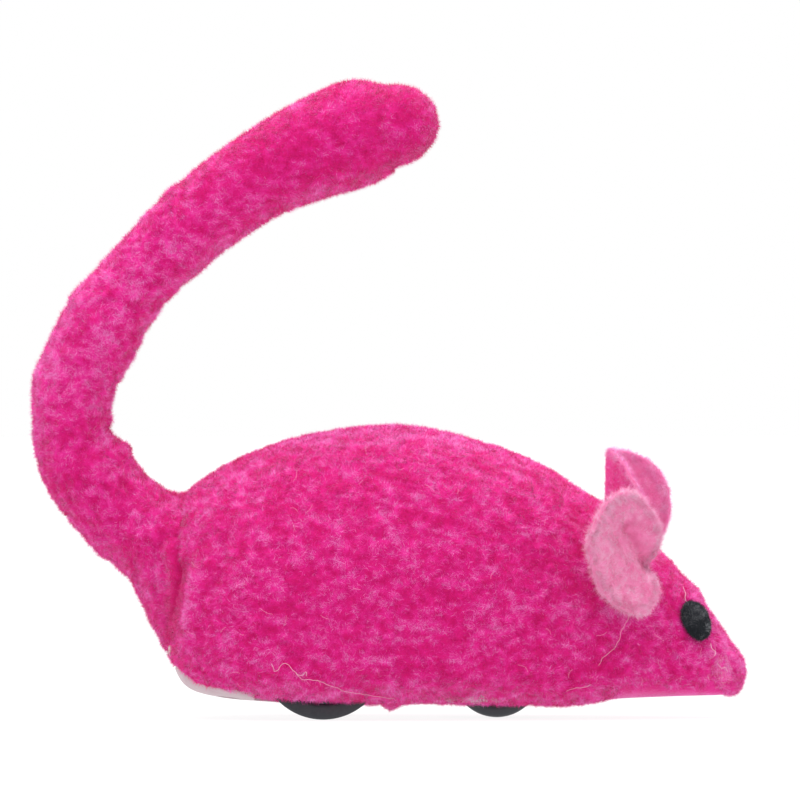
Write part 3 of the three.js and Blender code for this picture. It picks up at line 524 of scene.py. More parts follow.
spring_steel = metal("spring_steel", (0.10, 0.13, 0.20), (0.20, 0.22, 0.28), (0.22, 0.4), (1, 0.08, 1))
wadding = wadding_material()
glue = glue_material()
lint = plain_fibre("lint", (0.92, 0.55, 0.66), 0.4)
lint_pink = plain_fibre("lint_pink", (0.96, 0.40, 0.62), 0.4)
lint_grey = plain_fibre("lint_grey", (0.24, 0.24, 0.26), 0.3, (1, 1, 1))
dark_fibre = plain_fibre("fibre_charcoal", (0.020, 0.022, 0.027), 0.12, (0.8, 0.9, 1))
BY_SLOT = {
    "fleece": fleece,
    "felt": ear_pale,
    "wadding": wadding,
    "eye_felt": eye_felt,
    "white_plastic": white_plastic,
    "wheel_plastic": wheel_plastic,
    "tyre_rubber": tyre_rubber,
    "gear_plastic": gear_plastic,
    "plate_steel": plate_steel,
    "bright_steel": bright_steel,
    "spring_steel": spring_steel,
}
for part in frame["record"]["subparts"]:
    for slot in bpy.data.objects[part["node"]].material_slots:
        slot.material = BY_SLOT[part["material_slot"]]


# ---- the body's form
def stations_at(at):
    """Stations at fractional station numbers, none of them thinner than a hair."""
    rows = spline(BODY_STATIONS, at)
    rows[:, 3] = np.maximum(rows[:, 3], 0.01)
    return rows


body_at = np.linspace(0, len(BODY_STATIONS) - 1, 4001)
body_rows = stations_at(body_at)


def station(x):
    """Crown, keel, half width and widest height at x."""
    return [np.interp(x, body_rows[:, 0], body_rows[:, k]) for k in range(1, 5)]


def section(rows, angle):
    """Points on sections, by angle from the mouse's left, over the crown, to its right. Rows of stations."""
    x, crown, keel, half, wide = (rows[:, k, None] for k in range(5))
    up, across = np.sin(angle), np.cos(angle)
    power = np.where(up >= 0, CROWN_POWER, KEEL_POWER)
    reach = (np.abs(across) ** power + np.abs(up) ** power) ** (-1 / power)
    height = np.where(up >= 0, crown - wide, wide - keel)
    return np.stack([x + 0 * angle, half * reach * across, wide + height * reach * up], -1)


def flank(x, z, off=0.0, side=-1):
    """The point on the body's side at x and z, off that much outside it."""
    crown, keel, half, wide = station(x)
    up = np.asarray(z) >= wide
    power = np.where(up, CROWN_POWER, KEEL_POWER)
    share = np.clip(np.abs(z - wide) / np.where(up, crown - wide, wide - keel), 0, 0.9999)
    y = half * (1 - share**power) ** (1 / power)
    return np.stack([np.asarray(x, float) + 0 * y, side * (y + off), np.asarray(z, float) + 0 * y], -1)


def angle_down(q):
    """A section's angle below its widest line, from the share of the way down to the keel."""
    return np.arctan2(q, (1 - q**KEEL_POWER) ** (1 / KEEL_POWER))


def inset_form(points, inset, inset_z):
    """Body points drawn in towards its middle, as in the CAD model."""
    share = 1 - np.stack(np.broadcast_arrays(inset, inset, inset_z), -1) / BODY_HALF
    return BODY_MIDDLE + (points - BODY_MIDDLE) * share


def resampled(points, count):
    """Each row's points, set evenly along it."""
    step = np.linalg.norm(np.diff(points, axis=1), axis=-1)
    along = np.concatenate([np.zeros((len(points), 1)), np.cumsum(step, 1)], 1)
    along /= np.maximum(along[:, -1:], 1e-9)
    even = np.linspace(0, 1, count)
    return np.stack(
        [np.stack([np.interp(even, a, row[:, k]) for k in range(3)], -1) for a, row in zip(along, points)]
    )


# The hem's height as a share of the way from the widest line down to the keel.
HEM = [
    [-31.0, 1.0], [-30.5, 0.98], [-30.0, 0.88], [-29.2, 0.80], [-28.2, 0.815],
    [-27.0, 0.865], [-24.4, 0.9], [-21.4, 0.91], [-19.1, 0.94], [-17.9, 0.975],
    [-15.0, 0.985], [-12.5, 0.995], [20.0, 0.995], [31.0, 1.0],
]
CHIN = 31.0
BODY_ROWS, BODY_COLUMNS, LINING_STEP = 262, 301, 10
# The key's hole, the middle that the weave is pushed out of, and how far out it is pushed.
KEY_HOLE, HOLE_MIDDLE, HOLE_REACH = 3.1, 1.2, 7.0


def body_grid():
    step = np.diff(body_rows, axis=0)
    length = np.sqrt(step[:, 0] ** 2 + np.max(np.abs(step[:, 1:4]), axis=1) ** 2)
    along = np.concatenate([[0], np.cumsum(length)])
    at = np.interp(np.linspace(0, along[-1], BODY_ROWS), along, body_at)
    rows = stations_at(at)
    x = rows[:, 0]
    share = np.interp(x, *np.array(HEM).T)
    ragged = np.stack([x, 0 * x, 0 * x], -1)
    sides = []
    for offset in (0, 50):
        wave = 0.012 * noise_a(ragged + offset, 2.3) + 0.010 * noise_b(ragged + offset, 0.8)
        wave = wave * smooth(x, -30.5, -28) * (1 - 0.8 * smooth(share, 0.92, 0.98))
        q = np.where(x < CHIN - 0.8, np.minimum(share + wave, 0.998), share)
        sides.append(angle_down(np.clip(q, 0, 1)))
    right, left = sides
    steps = np.linspace(0, 1, 900)
    angle = (np.pi + right)[:, None] * (1 - steps) + (-left)[:, None] * steps
    return resampled(section(rows, angle), BODY_COLUMNS)


def body_relief(p):
    """How far the fleece stands proud of the body's plain form: puffs, the folds at the rump, the snout."""
    puffs = np.abs(noise_a(p, 1.9)) * 0.34 + np.abs(noise_b(p, 0.95)) * 0.22
    slow = noise_c(p, 7.0) * 0.22 + noise_d(p, 3.4) * 0.15
    fine = noise_d(p, 0.5) * 0.05
    nap = puffs - 0.55
    x, y, z = p[..., 0], np.abs(p[..., 1]), p[..., 2]
    valley, ridge = rump_fold(p)
    folds = 0.75 * ridge - 1.0 * valley
    second = smooth(z, 16, 19) * (1 - smooth(z, 25, 28)) * smooth(y, 5, 8)
    folds += second * (-0.35 * bump(x, -23.6 + (z - 20) * 0.25, 0.8))
    under = 1 - smooth(z, 3.2, 6.0)
    folds += 0.25 * (1 - smooth(z, 2.4, 3.6)) * smooth(x, -20, -14) * (1 - smooth(x, 24, 30))
    folds += under * (0.35 * smooth(x, 18, 24) * (1 - smooth(x, 28, 31)) - 0.55 * smooth(x, 30.5, 32.5))
    snout = 0.9 * bump(x, 46.9, 1.4) * (1 - smooth(z, 4.0, 6.5)) - 0.3 * smooth(x, 41, 46)
    snout -= 0.75 * bump(x, 44.7, 0.75) * (1 - smooth(z, 4.0, 6.5))
    snout += 0.35 * bump(x, 47.6, 1.6) * bump(z, 8.0, 1.8)
    snout += 0.5 * bump(x, 42.4, 1.2) * smooth(z, 14, 17)
    snout -= 0.4 * (bump(x, 12.5, 4) * smooth(z, 30, 36) + bump(x, 26.3, 2.5) * smooth(z, 26, 30))
    tag = 0.75 * bump(x, 0.2, 0.9) * (1 - smooth(z, 2.2, 3.0)) * (p[..., 1] < 0)
    calm = 1 - 0.75 * bump(x, -5, 4.5) * bump(z, 25, 4.5) * (p[..., 1] > 0)
    amount = (nap * (1 - 0.35 * smooth(x, 40, 47)) + slow + fine) * calm + folds + snout + tag
    return np.maximum(amount, -1.0 - 0.9 * smooth(x, 30, 40)), nap / 0.4 + 1.2


body = body_grid()
out = -grid_normals(body)
out *= np.sign(np.sum(out * (body - BODY_MIDDLE), -1, keepdims=True) + 1e-9)
relief, body_nap = body_relief(body)
lining = body[:, ::LINING_STEP]
drop = np.clip((lining[..., 2] - 2.2) / 10.0, 0, 1)
lining = inset_form(lining, FLEECE, FLEECE * drop)
body = body + out * relief[..., None]
body[..., 2] = np.maximum(body[..., 2], 1.15)

# The hole for the key: the weave is pushed aside round it.
offset = body[..., [0, 2]] - np.array(WINDING)
reach = np.hypot(offset[..., 0], offset[..., 1])
near = (body[..., 1] > 0) & (reach < HOLE_REACH)
pushed = KEY_HOLE + np.maximum(reach - HOLE_MIDDLE, 0) / (HOLE_REACH - HOLE_MIDDLE) * (HOLE_REACH - KEY_HOLE)
for k, axis in enumerate((0, 2)):
    body[..., axis] = np.where(
        near, WINDING[k] + offset[..., k] / np.maximum(reach, 1e-6) * pushed, body[..., axis]
    )
inside = (near & (reach < HOLE_MIDDLE)).ravel()

rows, columns = body.shape[:2]
outer_faces = grid_faces(rows, columns)
outer_faces = outer_faces[~inside[outer_faces].all(axis=1)]
count = lining.shape[1]
inner_faces = grid_faces(rows, count, first=rows * columns)[:, ::-1]
middles = lining.reshape(-1, 3)[inner_faces - rows * columns].mean(1)
clear = np.hypot(middles[:, 0] - WINDING[0], middles[:, 2] - WINDING[1]) < 4.6
inner_faces = inner_faces[~(clear & (middles[:, 1] > 0))]
# The cut edges join the two skins: along the hem, and ahead of it on each side of the seam under the chin.
edge = np.arange(rows - 1)
lips = []
for column, inner, flip in ((0, 0, False), (columns - 1, count - 1, True)):
    outer, under = edge * columns + column, rows * columns + edge * count + inner
    quads = np.stack([outer, outer + columns, under + count, under], -1)
    lips.append(quads if flip else quads[:, ::-1])
body_faces = np.concatenate([outer_faces, inner_faces, *lips])
body_points = np.concatenate([body.reshape(-1, 3), lining.reshape(-1, 3)])
fleece_body = make("fleece_body", body_points, body_faces, fleece)
mark(fleece_body, "tone", tone_at(body_points))
# The nap's height, which the fleece's material turns into painted light: paler on the puffs, deeper in the
# dips.
mark(fleece_body, "nap", np.concatenate([body_nap.ravel(), np.zeros(lining[..., 0].size)]))


# ---- the tail's fleece
# Rings at the root: centre x and z, angle of its long way in degrees, half of that way, half width, and how
# far its sides reach forward.
ROOT_RINGS = [
    [-26.5, 20.4, 88, 9.4, 7.0, 2.4],
    [-28.4, 20.2, 87, 10.6, 9.2, 2.6],
    [-30.05, 20.1, 86, 11.1, 10.6, 2.6],
    [-32.05, 22.5, 82, 9.2, 9.6, 1.8],
    [-34.1, 25.7, 75, 7.2, 8.2, 1.0],
    [-36.8, 28.3, 66, 6.85, 7.0, 0.4],
    [-39.55, 31.7, 57, 7.05, 6.7, 0.1],
]


def tail_rings():
    line = np.array(TAIL_LINE)
    way = np.gradient(line[:, :2], axis=0)
    angle = np.degrees(np.unwrap(np.arctan2(way[:, 1], way[:, 0]))) - 90
    angle[0] = 42
    flat = [[x, z, a, r, r, 0] for (x, z, r), a in zip(line, angle)]
    return np.array(ROOT_RINGS + flat)


TAIL_ROWS, TAIL_COLUMNS = 300, 112
keys = tail_rings()
fine_at = np.linspace(0, len(keys) - 1, 3000)
fine_rows = spline(keys, fine_at)
step = np.hypot(*np.diff(fine_rows[:, :2], axis=0).T)
along = np.concatenate([[0], np.cumsum(step)])
tail_at = np.interp(np.linspace(0, along[-1], TAIL_ROWS), along, fine_at)
ring = spline(keys, tail_at)
around = np.linspace(0, 2 * np.pi, TAIL_COLUMNS, endpoint=False)
long_way = np.radians(ring[:, 2])
n = np.stack([np.cos(long_way), 0 * long_way, np.sin(long_way)], -1)
centre = np.stack([ring[:, 0], 0 * ring[:, 0], ring[:, 1]], -1)
tail = (
    centre[:, None]
    + n[:, None] * (ring[:, 3, None] * np.cos(around))[..., None]
    + np.array([0, 1, 0]) * (ring[:, 4, None] * np.sin(around))[..., None]
    + np.array([1, 0, 0]) * (ring[:, 5, None] * np.sin(around) ** 2)[..., None]
)
# The blunt tip.
tip_turn = np.linspace(0, np.pi / 2, 30)[1:]
tip_way = np.array([-math.sin(long_way[-1]), 0, math.cos(long_way[-1])])
tip = []
for a in tip_turn:
    narrow = max(math.cos(a), 0.002) ** 0.86
    tip.append(centre[-1] + (tail[-1] - centre[-1]) * narrow + tip_way * TAIL_TIP * math.sin(a) ** 1.05)
tail = np.concatenate([tail, np.array(tip)])
out = grid_normals(tail, wrap=True)
axis = np.concatenate([centre, np.repeat(centre[-1:], len(tip), 0)])
out *= np.sign(np.sum(out * (tail - axis[:, None]), -1, keepdims=True) + 1e-9)
out[-1] = tip_way


def tail_relief(p):
    lumps = np.abs(noise_b(p, 3.6)) * 0.62 + np.abs(noise_c(p, 1.9)) * 0.40 + np.abs(noise_a(p, 0.95)) * 0.18
    slow = noise_d(p, 8.0) * 0.35
    nap = lumps - 0.78
    x, y, z = p[..., 0], np.abs(p[..., 1]), p[..., 2]
    crease = smooth(z, 10.5, 13) * (1 - smooth(z, 24, 28)) * smooth(y, 3.5, 6)
    folds = -0.35 * crease * bump(x, -31.6 + 0.3 * noise_a(p, 4.0), 1.2)
    folds += 0.2 * crease * bump(x, -30.0, 1.0)
    folds -= 1.4 * bump(x, 5.8, 1.8) * bump(z, 78.4, 2.0)
    return nap + slow + noise_d(p, 0.5) * 0.05 + folds, nap / 0.6 + 1.15


relief, tail_nap = tail_relief(tail)
relief *= smooth(tail[..., 0] * -1, 26, 29) * 0.9 + 0.1
tail = tail + out * relief[..., None]
fleece_tail = make("fleece_tail", tail, grid_faces(len(tail), TAIL_COLUMNS, wrap=True), fleece)
mark(fleece_tail, "tone", tone_at(tail))
# The nap's height, which the fleece's material turns into painted light: paler on the puffs, deeper in the
# dips.
mark(fleece_tail, "nap", tail_nap)


# ---- nap: short fibres rooted in a surface
def pile(name, grid, normals, count, seed, length, tilt, width, materials, wrap=False, tones=None, keep=None):
    """Fibres rooted evenly over a grid of points. tones picks each fibre's material from 0 to 1."""
    rng = np.random.default_rng(seed)
    flat, up = grid.reshape(-1, 3), normals.reshape(-1, 3)
    quads = grid_faces(grid.shape[0], grid.shape[1], wrap)
    if keep is not None:
        quads = quads[keep(flat[quads].mean(1))]
    a, b, c, d = (flat[quads[:, k]] for k in range(4))
    area = np.linalg.norm(np.cross(c - a, d - b), axis=-1)
    chosen = np.searchsorted(np.cumsum(area) / area.sum(), rng.random(count))
    quads = quads[np.minimum(chosen, len(quads) - 1)]
    s, t = rng.random((2, count, 1))
    weights = [(1 - s) * (1 - t), s * (1 - t), s * t, (1 - s) * t]
    root = sum(w * flat[quads[:, k]] for k, w in enumerate(weights))
    normal = unit(sum(w * up[quads[:, k]] for k, w in enumerate(weights)))
    side = unit(np.cross(normal, np.array([0.31, 0.2, 0.93])))
    other = np.cross(normal, side)
    swirl = 2.6 * np.pi * noise_c(root, 3.0) + rng.normal(0, 0.9, count)
    flatways = np.cos(swirl)[:, None] * side + np.sin(swirl)[:, None] * other
    lean = np.radians(rng.uniform(*tilt, count))[:, None]
    way = normal * np.cos(lean) + flatways * np.sin(lean)
    cross = unit(np.cross(way, normal + rng.normal(0, 0.5, (count, 3))))
    reach = (rng.uniform(*length, count))[:, None]
    half = width / 2 * rng.uniform(0.7, 1.3, count)[:, None]
    face = np.cross(cross, way)
    cross *= np.sign(np.sum(face * normal, -1, keepdims=True) + 1e-9)
    points = np.stack([root - cross * half, root + cross * half, root + way * reach], 1).reshape(-1, 3)
    faces = np.arange(3 * count).reshape(-1, 3)
    # The tone carries the painted shade in the rump's fold and the painted light on the ridge and up high into
    # the fibres' colours.
    value = (tone_at(root) if tones is None else tones(root)) + rng.normal(0, 0.18, count)
    index = np.clip((value * len(materials)).astype(int), 0, len(materials) - 1)
    obj = make(name, points, faces, materials, index=index)
    face = unit(np.cross(cross, way))
    lit = unit(face + 0.9 * normal)
    obj.data.normals_split_custom_set_from_vertices(np.repeat(lit, 3, axis=0).tolist())
    return obj


def facing(grid, middle, wrap=False):
    """A grid's normals, all of them on the side away from a middle point or line."""
    made = grid_normals(grid, wrap)
    return made * np.sign(np.median(np.sum(made * (grid - middle), -1)))


def clear_of_key(p):
    return (p[:, 1] <= 0) | (np.hypot(p[:, 0] - WINDING[0], p[:, 2] - WINDING[1]) >= KEY_HOLE + 0.4)


lit_body = facing(body, BODY_MIDDLE)
naps = [
    pile(
        f"fleece_body_nap_{letter}", body, lit_body, 150_000, seed, (0.35, 0.85), (25, 78), 0.055, fibres,
        keep=clear_of_key,
    )
    for letter, seed in (("a", 101), ("b", 102), ("c", 103))
]
naps.append(
    pile(
        "fleece_muzzle_worn", body, lit_body, 900, 131, (0.3, 0.9), (35, 82), 0.035, [lint_pink, lint],
        tones=lambda p: 0.3,
        keep=lambda m: np.hypot((m[:, 0] - 45.7) * 0.8, (m[:, 2] - 6.4) * 0.55) + 1.1 * noise_b(m, 0.9) < 1.0,
    )
)
lit_tail = facing(tail, axis[:, None], wrap=True)
lit_tail[-1] = tip_way
tail_nap_piece = pile(
    "fleece_tail_nap", tail, lit_tail, 180_000, 201, (0.35, 0.9), (20, 78), 0.055, fibres, wrap=True,
    keep=lambda m: (m[:, 0] < -26.8) | (m[:, 2] > 45),
)
tail_pieces = [fleece_tail, tail_nap_piece]


# ---- felt ears
FELT_RINGS, FELT_RIM = 34, 7
EYE_RINGS, EYE_RIM = 18, 6


def felt_piece(
    name, surface, outline, thickness, front, back, rings=FELT_RINGS, sides=150, rim=FELT_RIM, rough=0.06
):
    """A felt disc about a curved middle surface, with a rounded edge. Returns its object, grid and normals."""
    angle = np.linspace(0, 2 * np.pi, sides, endpoint=False)
    radius = outline(angle)
    share = np.linspace(0.0, 1, rings) ** 0.9
    a = share[:, None] * radius * np.cos(angle)
    b = share[:, None] * radius * np.sin(angle)
    e = 0.05
    middle = surface(a, b)
    normal = unit(np.cross(surface(a + e, b) - surface(a - e, b), surface(a, b + e) - surface(a, b - e)))
    grown = surface(a[-1:] * 1.01, b[-1:] * 1.01)
    outward = unit(grown - middle[-1:])
    half = thickness / 2 * (1 - 0.42 * share[:, None, None] ** 7)
    turn = np.linspace(0, np.pi, rim + 2)[1:-1]
    edge = [
        middle[-1] + normal[-1] * half[-1] * math.cos(t) + outward[0] * half[-1] * math.sin(t) for t in turn
    ]
    grid = np.concatenate([middle + normal * half, np.array(edge), (middle - normal * half)[::-1]])
    lift = np.concatenate(
        [
            normal,
            np.array([normal[-1] * math.cos(t) + outward[0] * math.sin(t) for t in turn]),
            -normal[::-1],
        ]
    )
    grid = grid + lift * ((noise_a(grid, 1.1) + 0.6 * noise_b(grid, 0.45)) * rough)[..., None]
    faces = grid_faces(len(grid), sides, wrap=True)
    index = np.where(faces[:, 0] // sides < rings + rim, 0, 1)
    obj = make(name, grid, faces, [front, back], index=index, merge=0.002)
    return obj, grid, unit(lift)


def smoothed_outline(table):
    angles, radii = np.radians([t[0] for t in table]), [t[1] for t in table]
    dense = np.linspace(-np.pi, np.pi, 720, endpoint=False)
    values = np.interp(dense, angles, radii, period=2 * np.pi)
    window = np.hanning(61)
    window /= window.sum()
    values = np.convolve(np.concatenate([values[-30:], values, values[:30]]), window, "valid")
    dense_points = np.stack([np.cos(dense) * 8, np.sin(dense) * 8, 0 * dense], -1)
    values = values + 0.10 * noise_c(dense_points, 1.6) + 0.16 * noise_d(dense_points, 4.0)
    return lambda angle: np.interp(angle, dense, values, period=2 * np.pi)


RIGHT_EAR = np.array([32.05, -15.0, 22.7])
RIGHT_ACROSS, RIGHT_FACE = np.array([0.70, 0.714, 0.0]), np.array([0.714, -0.70, 0.0])
PINCH = math.radians(-19)
HOLLOW = ((4.4, -1.5), (0.3, 3.6))
# An ear's outline: angle in degrees and distance from the middle.
RIGHT_OUTLINE = [
    (-178, 7.8), (-165, 7.4), (-150, 7.1), (-129, 6.9), (-102, 7.3), (-87, 7.9), (-76, 8.4), (-64, 8.0),
    (-43, 7.5), (-33, 6.7), (-22, 5.9), (-10, 5.8), (-2, 5.7), (13, 6.0), (27, 6.5), (45, 6.5),
    (63, 7.0), (80, 7.9), (96, 8.4), (115, 8.5), (132, 8.4), (146, 8.3), (159, 8.5), (171, 8.5),
]


def from_hollow(a, b):
    """How far points of the near ear are from the bottom of its hollow."""
    (a0, b0), (a1, b1) = HOLLOW
    t = np.clip(((a - a0) * (a1 - a0) + (b - b0) * (b1 - b0)) / ((a1 - a0) ** 2 + (b1 - b0) ** 2), 0, 1)
    return np.hypot(a - a0 - t * (a1 - a0), b - b0 - t * (b1 - b0))


def right_ear(a, b):
    """The near ear: a dished disc whose front edge is pinched in where it is glued to the head."""
    r = np.hypot(a, b)
    turn = (np.arctan2(b, a) - PINCH + np.pi) % (2 * np.pi) - np.pi
    lift = 1.2 * (r / 8) ** 2
    lift = lift + 0.7 * (r / 8) ** 2 * (bump(turn, 0.95, 0.42) + bump(turn, -0.75, 0.42))
    lift = lift - 1.7 * bump(r, 5.3, 2.0) * bump(turn, 0, 0.30) - 0.75 * bump(from_hollow(a, b), 0, 1.2)
    lift = lift + 0.5 * bump(a, -4.5, 2.5) * bump(b, -1.5, 3.0) - 0.35 * bump(a, -1.0, 2.2) * bump(b, 3.5, 2.5)
    return (
        RIGHT_EAR
        + a[..., None] * RIGHT_ACROSS
        + b[..., None] * np.array([0.02, -0.02, 1.0])
        + lift[..., None] * RIGHT_FACE
    )


LEFT_OUTLINE = [
    (-120, 9.0), (-60, 8.5), (-30, 7.7), (-20, 7.8), (-5, 8.3), (13, 8.8),
    (30, 9.2), (43, 9.4), (62, 9.4), (80, 9.4), (100, 9.2), (130, 9.2),
]
LEFT_FOLD_TOP, LEFT_FOLD_FOOT = np.array([30.6, 12.9, 36.2]), np.array([30.2, 12.2, 18.4])
LEFT_RADIUS = 9.1


def left_ear(a, b):
    """The far ear: a disc folded about an upright line at its rear, open towards the front."""
    share = (b / LEFT_RADIUS + 1) / 2
    spine = LEFT_FOLD_FOOT + (LEFT_FOLD_TOP - LEFT_FOLD_FOOT) * share[..., None]
    near_half = np.radians(180 - np.clip(47 + 2.4 * (b - 0.9), 26, 66))
    far_half = np.radians(8 + 0.8 * (b - 2))
    total = np.zeros(a.shape + (3,))
    steps = 28
    for k in range(steps):
        s = a * (k + 0.5) / steps
        turn = near_half + (far_half - near_half) * smooth(s, -1.35, 1.35)
        turn = turn - 0.045 * s * (s > 0) + 0.02 * s * (s < 0)
        total += np.stack([np.cos(turn), np.sin(turn), 0 * turn], -1)
    return spine + total * (a / steps)[..., None]


ear_right, right_grid, right_lift = felt_piece(
    "felt_ear_right", right_ear, smoothed_outline(RIGHT_OUTLINE), 1.1, ear_pale, ear_deep
)
ear_left, left_grid, left_lift = felt_piece(
    "felt_ear_left", left_ear, smoothed_outline(LEFT_OUTLINE), 1.0, ear_pale, ear_deep
)
ear_fibres = fibre_set(
    "ear_fibre", EAR_SHEEN, deep=(0.93, 0.24, 0.51), middle=(0.95, 0.35, 0.61), pale=(0.97, 0.56, 0.76)
)
back_fibres = fibre_set("ear_back", deep=(0.96, 0.08, 0.50), middle=(0.97, 0.16, 0.60), pale=(0.98, 0.38, 0.76))
far_fibres = fibre_set("ear_far", deep=(0.99, 0.21, 0.55), middle=(1.0, 0.32, 0.66), pale=(1.0, 0.50, 0.78))


def right_tones(p):
    """The near ear's nap: mottled, and painted deeper along its hollow, a painted shade."""
    a, b = (p - RIGHT_EAR) @ RIGHT_ACROSS, p[:, 2] - RIGHT_EAR[2]
    # Painted shade: the nap is painted deeper along the hollow.
    hollow = bump(from_hollow(a, b), 0, 1.3) + 0.5 * bump(from_hollow(a, b), 0, 0.5)
    return 0.58 + 0.30 * noise_b(p, 2.4) + 0.35 * noise_c(p, 0.8) - 0.5 * hollow


def ear_fuzz(name, grid, lift, seed, materials, tones=None):
    """Nap on an ear's face and back, and longer fibres along its rim."""
    face = slice(None, FELT_RINGS + FELT_RIM)
    back = slice(face.stop - 1, None)
    rim = slice(face.stop - 12, face.stop + 3)
    return [
        pile(
            name + "_front", grid[face], lift[face], 18_000, seed, (0.25, 0.8), (30, 82), 0.042, materials,
            wrap=True, tones=tones,
        ),
        pile(
            name + "_back", grid[back], lift[back], 12_000, seed + 1, (0.25, 0.6), (30, 80), 0.05, back_fibres,
            wrap=True,
        ),
        pile(
            name + "_rim", grid[rim], lift[rim], 11_000, seed + 2, (0.35, 1.2), (10, 75), 0.030, materials[1:],
            wrap=True,
        ),
    ]


ear_pieces = [ear_right, ear_left]
ear_pieces += ear_fuzz("felt_ear_right_fuzz", right_grid, right_lift, 301, ear_fibres, right_tones)
ear_pieces += ear_fuzz("felt_ear_left_fuzz", left_grid, left_lift, 311, far_fibres)


# ---- felt eyes
EYE_AT, EYE_HALF, EYE_TILT = (42.1, 13.45), (1.55, 2.55), math.radians(25)


def eye(side, name):
    """An oval of charcoal felt that follows the cheek, tilted forward at its foot."""

    def surface(a, b):
        x = EYE_AT[0] + a * math.cos(EYE_TILT) - b * math.sin(EYE_TILT)
        z = EYE_AT[1] + a * math.sin(EYE_TILT) + b * math.cos(EYE_TILT)
        return flank(x, z, 0.40, side)

    def outline(angle):
        oval = 1 / np.sqrt((np.cos(angle) / EYE_HALF[0]) ** 2 + (np.sin(angle) / EYE_HALF[1]) ** 2)
        return oval * (1 + 0.02 * np.sin(3 * angle + 1))

    return felt_piece(
        name, surface, outline, 0.9, eye_felt, eye_felt, rings=EYE_RINGS, sides=72, rim=EYE_RIM, rough=0.05
    )


eye_right, eye_grid, eye_lift = eye(-1, "felt_eye_right")
eye_left, eye_grid_left, eye_lift_left = eye(1, "felt_eye_left")


# ---- base tray
def tray_surface(rows, inset, floor, lip):
    """The tray's wall and bottom: rows of points from its left rim, under it, to its right rim."""
    keel, wide = rows[:, 2], rows[:, 4]
    rise = 1.8 * (1 - smooth(rows[:, 0], -30.2, -26.5))
    q = np.clip((wide - TRAY_TOP - rise) / (wide - keel), 0, 0.99999)
    rim = angle_down(q)
    steps = np.linspace(0, 1, 500)
    angle = -(rim[:, None] * (1 - steps) + (np.pi - rim)[:, None] * steps)
    points = resampled(section(rows, angle), 141)
    amount = np.full(points.shape[:2], float(inset))
    if lip:
        share = np.interp(points[..., 0], *np.array(HEM).T)
        _, keel, _, wide = station(points[..., 0])
        hem = wide - share * (wide - keel)
        rear = 1 - smooth(points[..., 0], -24, -13)
        low = 1 - smooth(points[..., 2] - rise[:, None], 4.8, 6.3)
        amount -= 0.85 * rear * low * smooth(hem + 0.5 - points[..., 2], -0.5, 0.4)
    points = inset_form(points, amount, 0 * amount)
    points[..., 2] = np.maximum(points[..., 2], floor)
    return points


def carved(obj, tools):
    for tool in tools:
        cutter = obj.modifiers.new("cut", "BOOLEAN")
        cutter.operation, cutter.solver, cutter.object = "DIFFERENCE", "EXACT", tool
    bpy.context.view_layer.update()
    done = bpy.data.meshes.new_from_object(obj.evaluated_get(bpy.context.evaluated_depsgraph_get()))
    obj.modifiers.clear()
    obj.data = done
    for tool in tools:
        bpy.data.objects.remove(tool)


def block(x0, x1, y0, y1):
    """A cutter for a wheel's well, right through the tray."""
    corners = [[x, y, z] for x in (x0, x1) for y in (y0, y1) for z in (-1, 12)]
    faces = [[0, 1, 3, 2], [4, 6, 7, 5], [0, 4, 5, 1], [2, 3, 7, 6], [0, 2, 6, 4], [1, 5, 7, 3]]
    return make("cutter", corners, faces, tray_plastic, flat=True, turn=True)


def peg(x, y, radius=1.9, top=4.4, sides=40):
    """A cutter for a screw's hole."""
    turn = np.linspace(0, 2 * np.pi, sides, endpoint=False)
    ring = [[x + radius * math.cos(t), y + radius * math.sin(t), z] for z in (0, top) for t in turn]
    faces = [[s, (s + 1) % sides, sides + (s + 1) % sides, sides + s] for s in range(sides)]
    faces += [list(range(sides)), list(range(sides, 2 * sides))]
    return make("cutter", ring, faces, tray_plastic, flat=True, turn=True)


def base_tray():
    first = np.interp(-TRAY_TOP, -body_rows[:400, 2], body_at[:400])
    front = BODY_MIDDLE[0] + (TRAY_FRONT - BODY_MIDDLE[0]) / (1 - SHELL_INSET / BODY_HALF[0])
    last = np.interp(front, body_rows[:, 0], body_at)
    rows = spline(BODY_STATIONS, first + (last - first) * np.linspace(0, 1, 170) ** 1.15)
    outer = tray_surface(rows, SHELL_INSET, TRAY_BOTTOM, True)
    inner = tray_surface(rows, SHELL_INSET + SHELL_WALL, TRAY_FLOOR, False)
    r, c = outer.shape[:2]
    faces = [grid_faces(r, c), grid_faces(r, c, first=r * c)[:, ::-1]]
    k = np.arange(r - 1)
    for column in (0, c - 1):
        a, b = k * c + column, (k + 1) * c + column
        faces.append(np.stack([a, b, b + r * c, a + r * c], -1))
    k = np.arange(c - 1)
    for row in (0, r - 1):
        a, b = row * c + k, row * c + k + 1
        faces.append(np.stack([a, b, b + r * c, a + r * c], -1))
    points = np.concatenate([outer.reshape(-1, 3), inner.reshape(-1, 3)])
    obj = make("moulded_tray", points, np.concatenate(faces), tray_plastic, merge=0.004, turn=True)
    tools = [block(-18.4, 0.4, y, y + 4.4) for y in (9.5, -13.9)]
    tools.append(block(7.9, 21.7, -2.7, 2.7))
    tools += [peg(-21.5, y) for y in (-8.5, 8.5)] + [peg(24.2, y) for y in (-7, 7)]
    carved(obj, tools)
    return obj


tray = base_tray()


# ---- wheels
SIDES = {1: "left", -1: "right"}


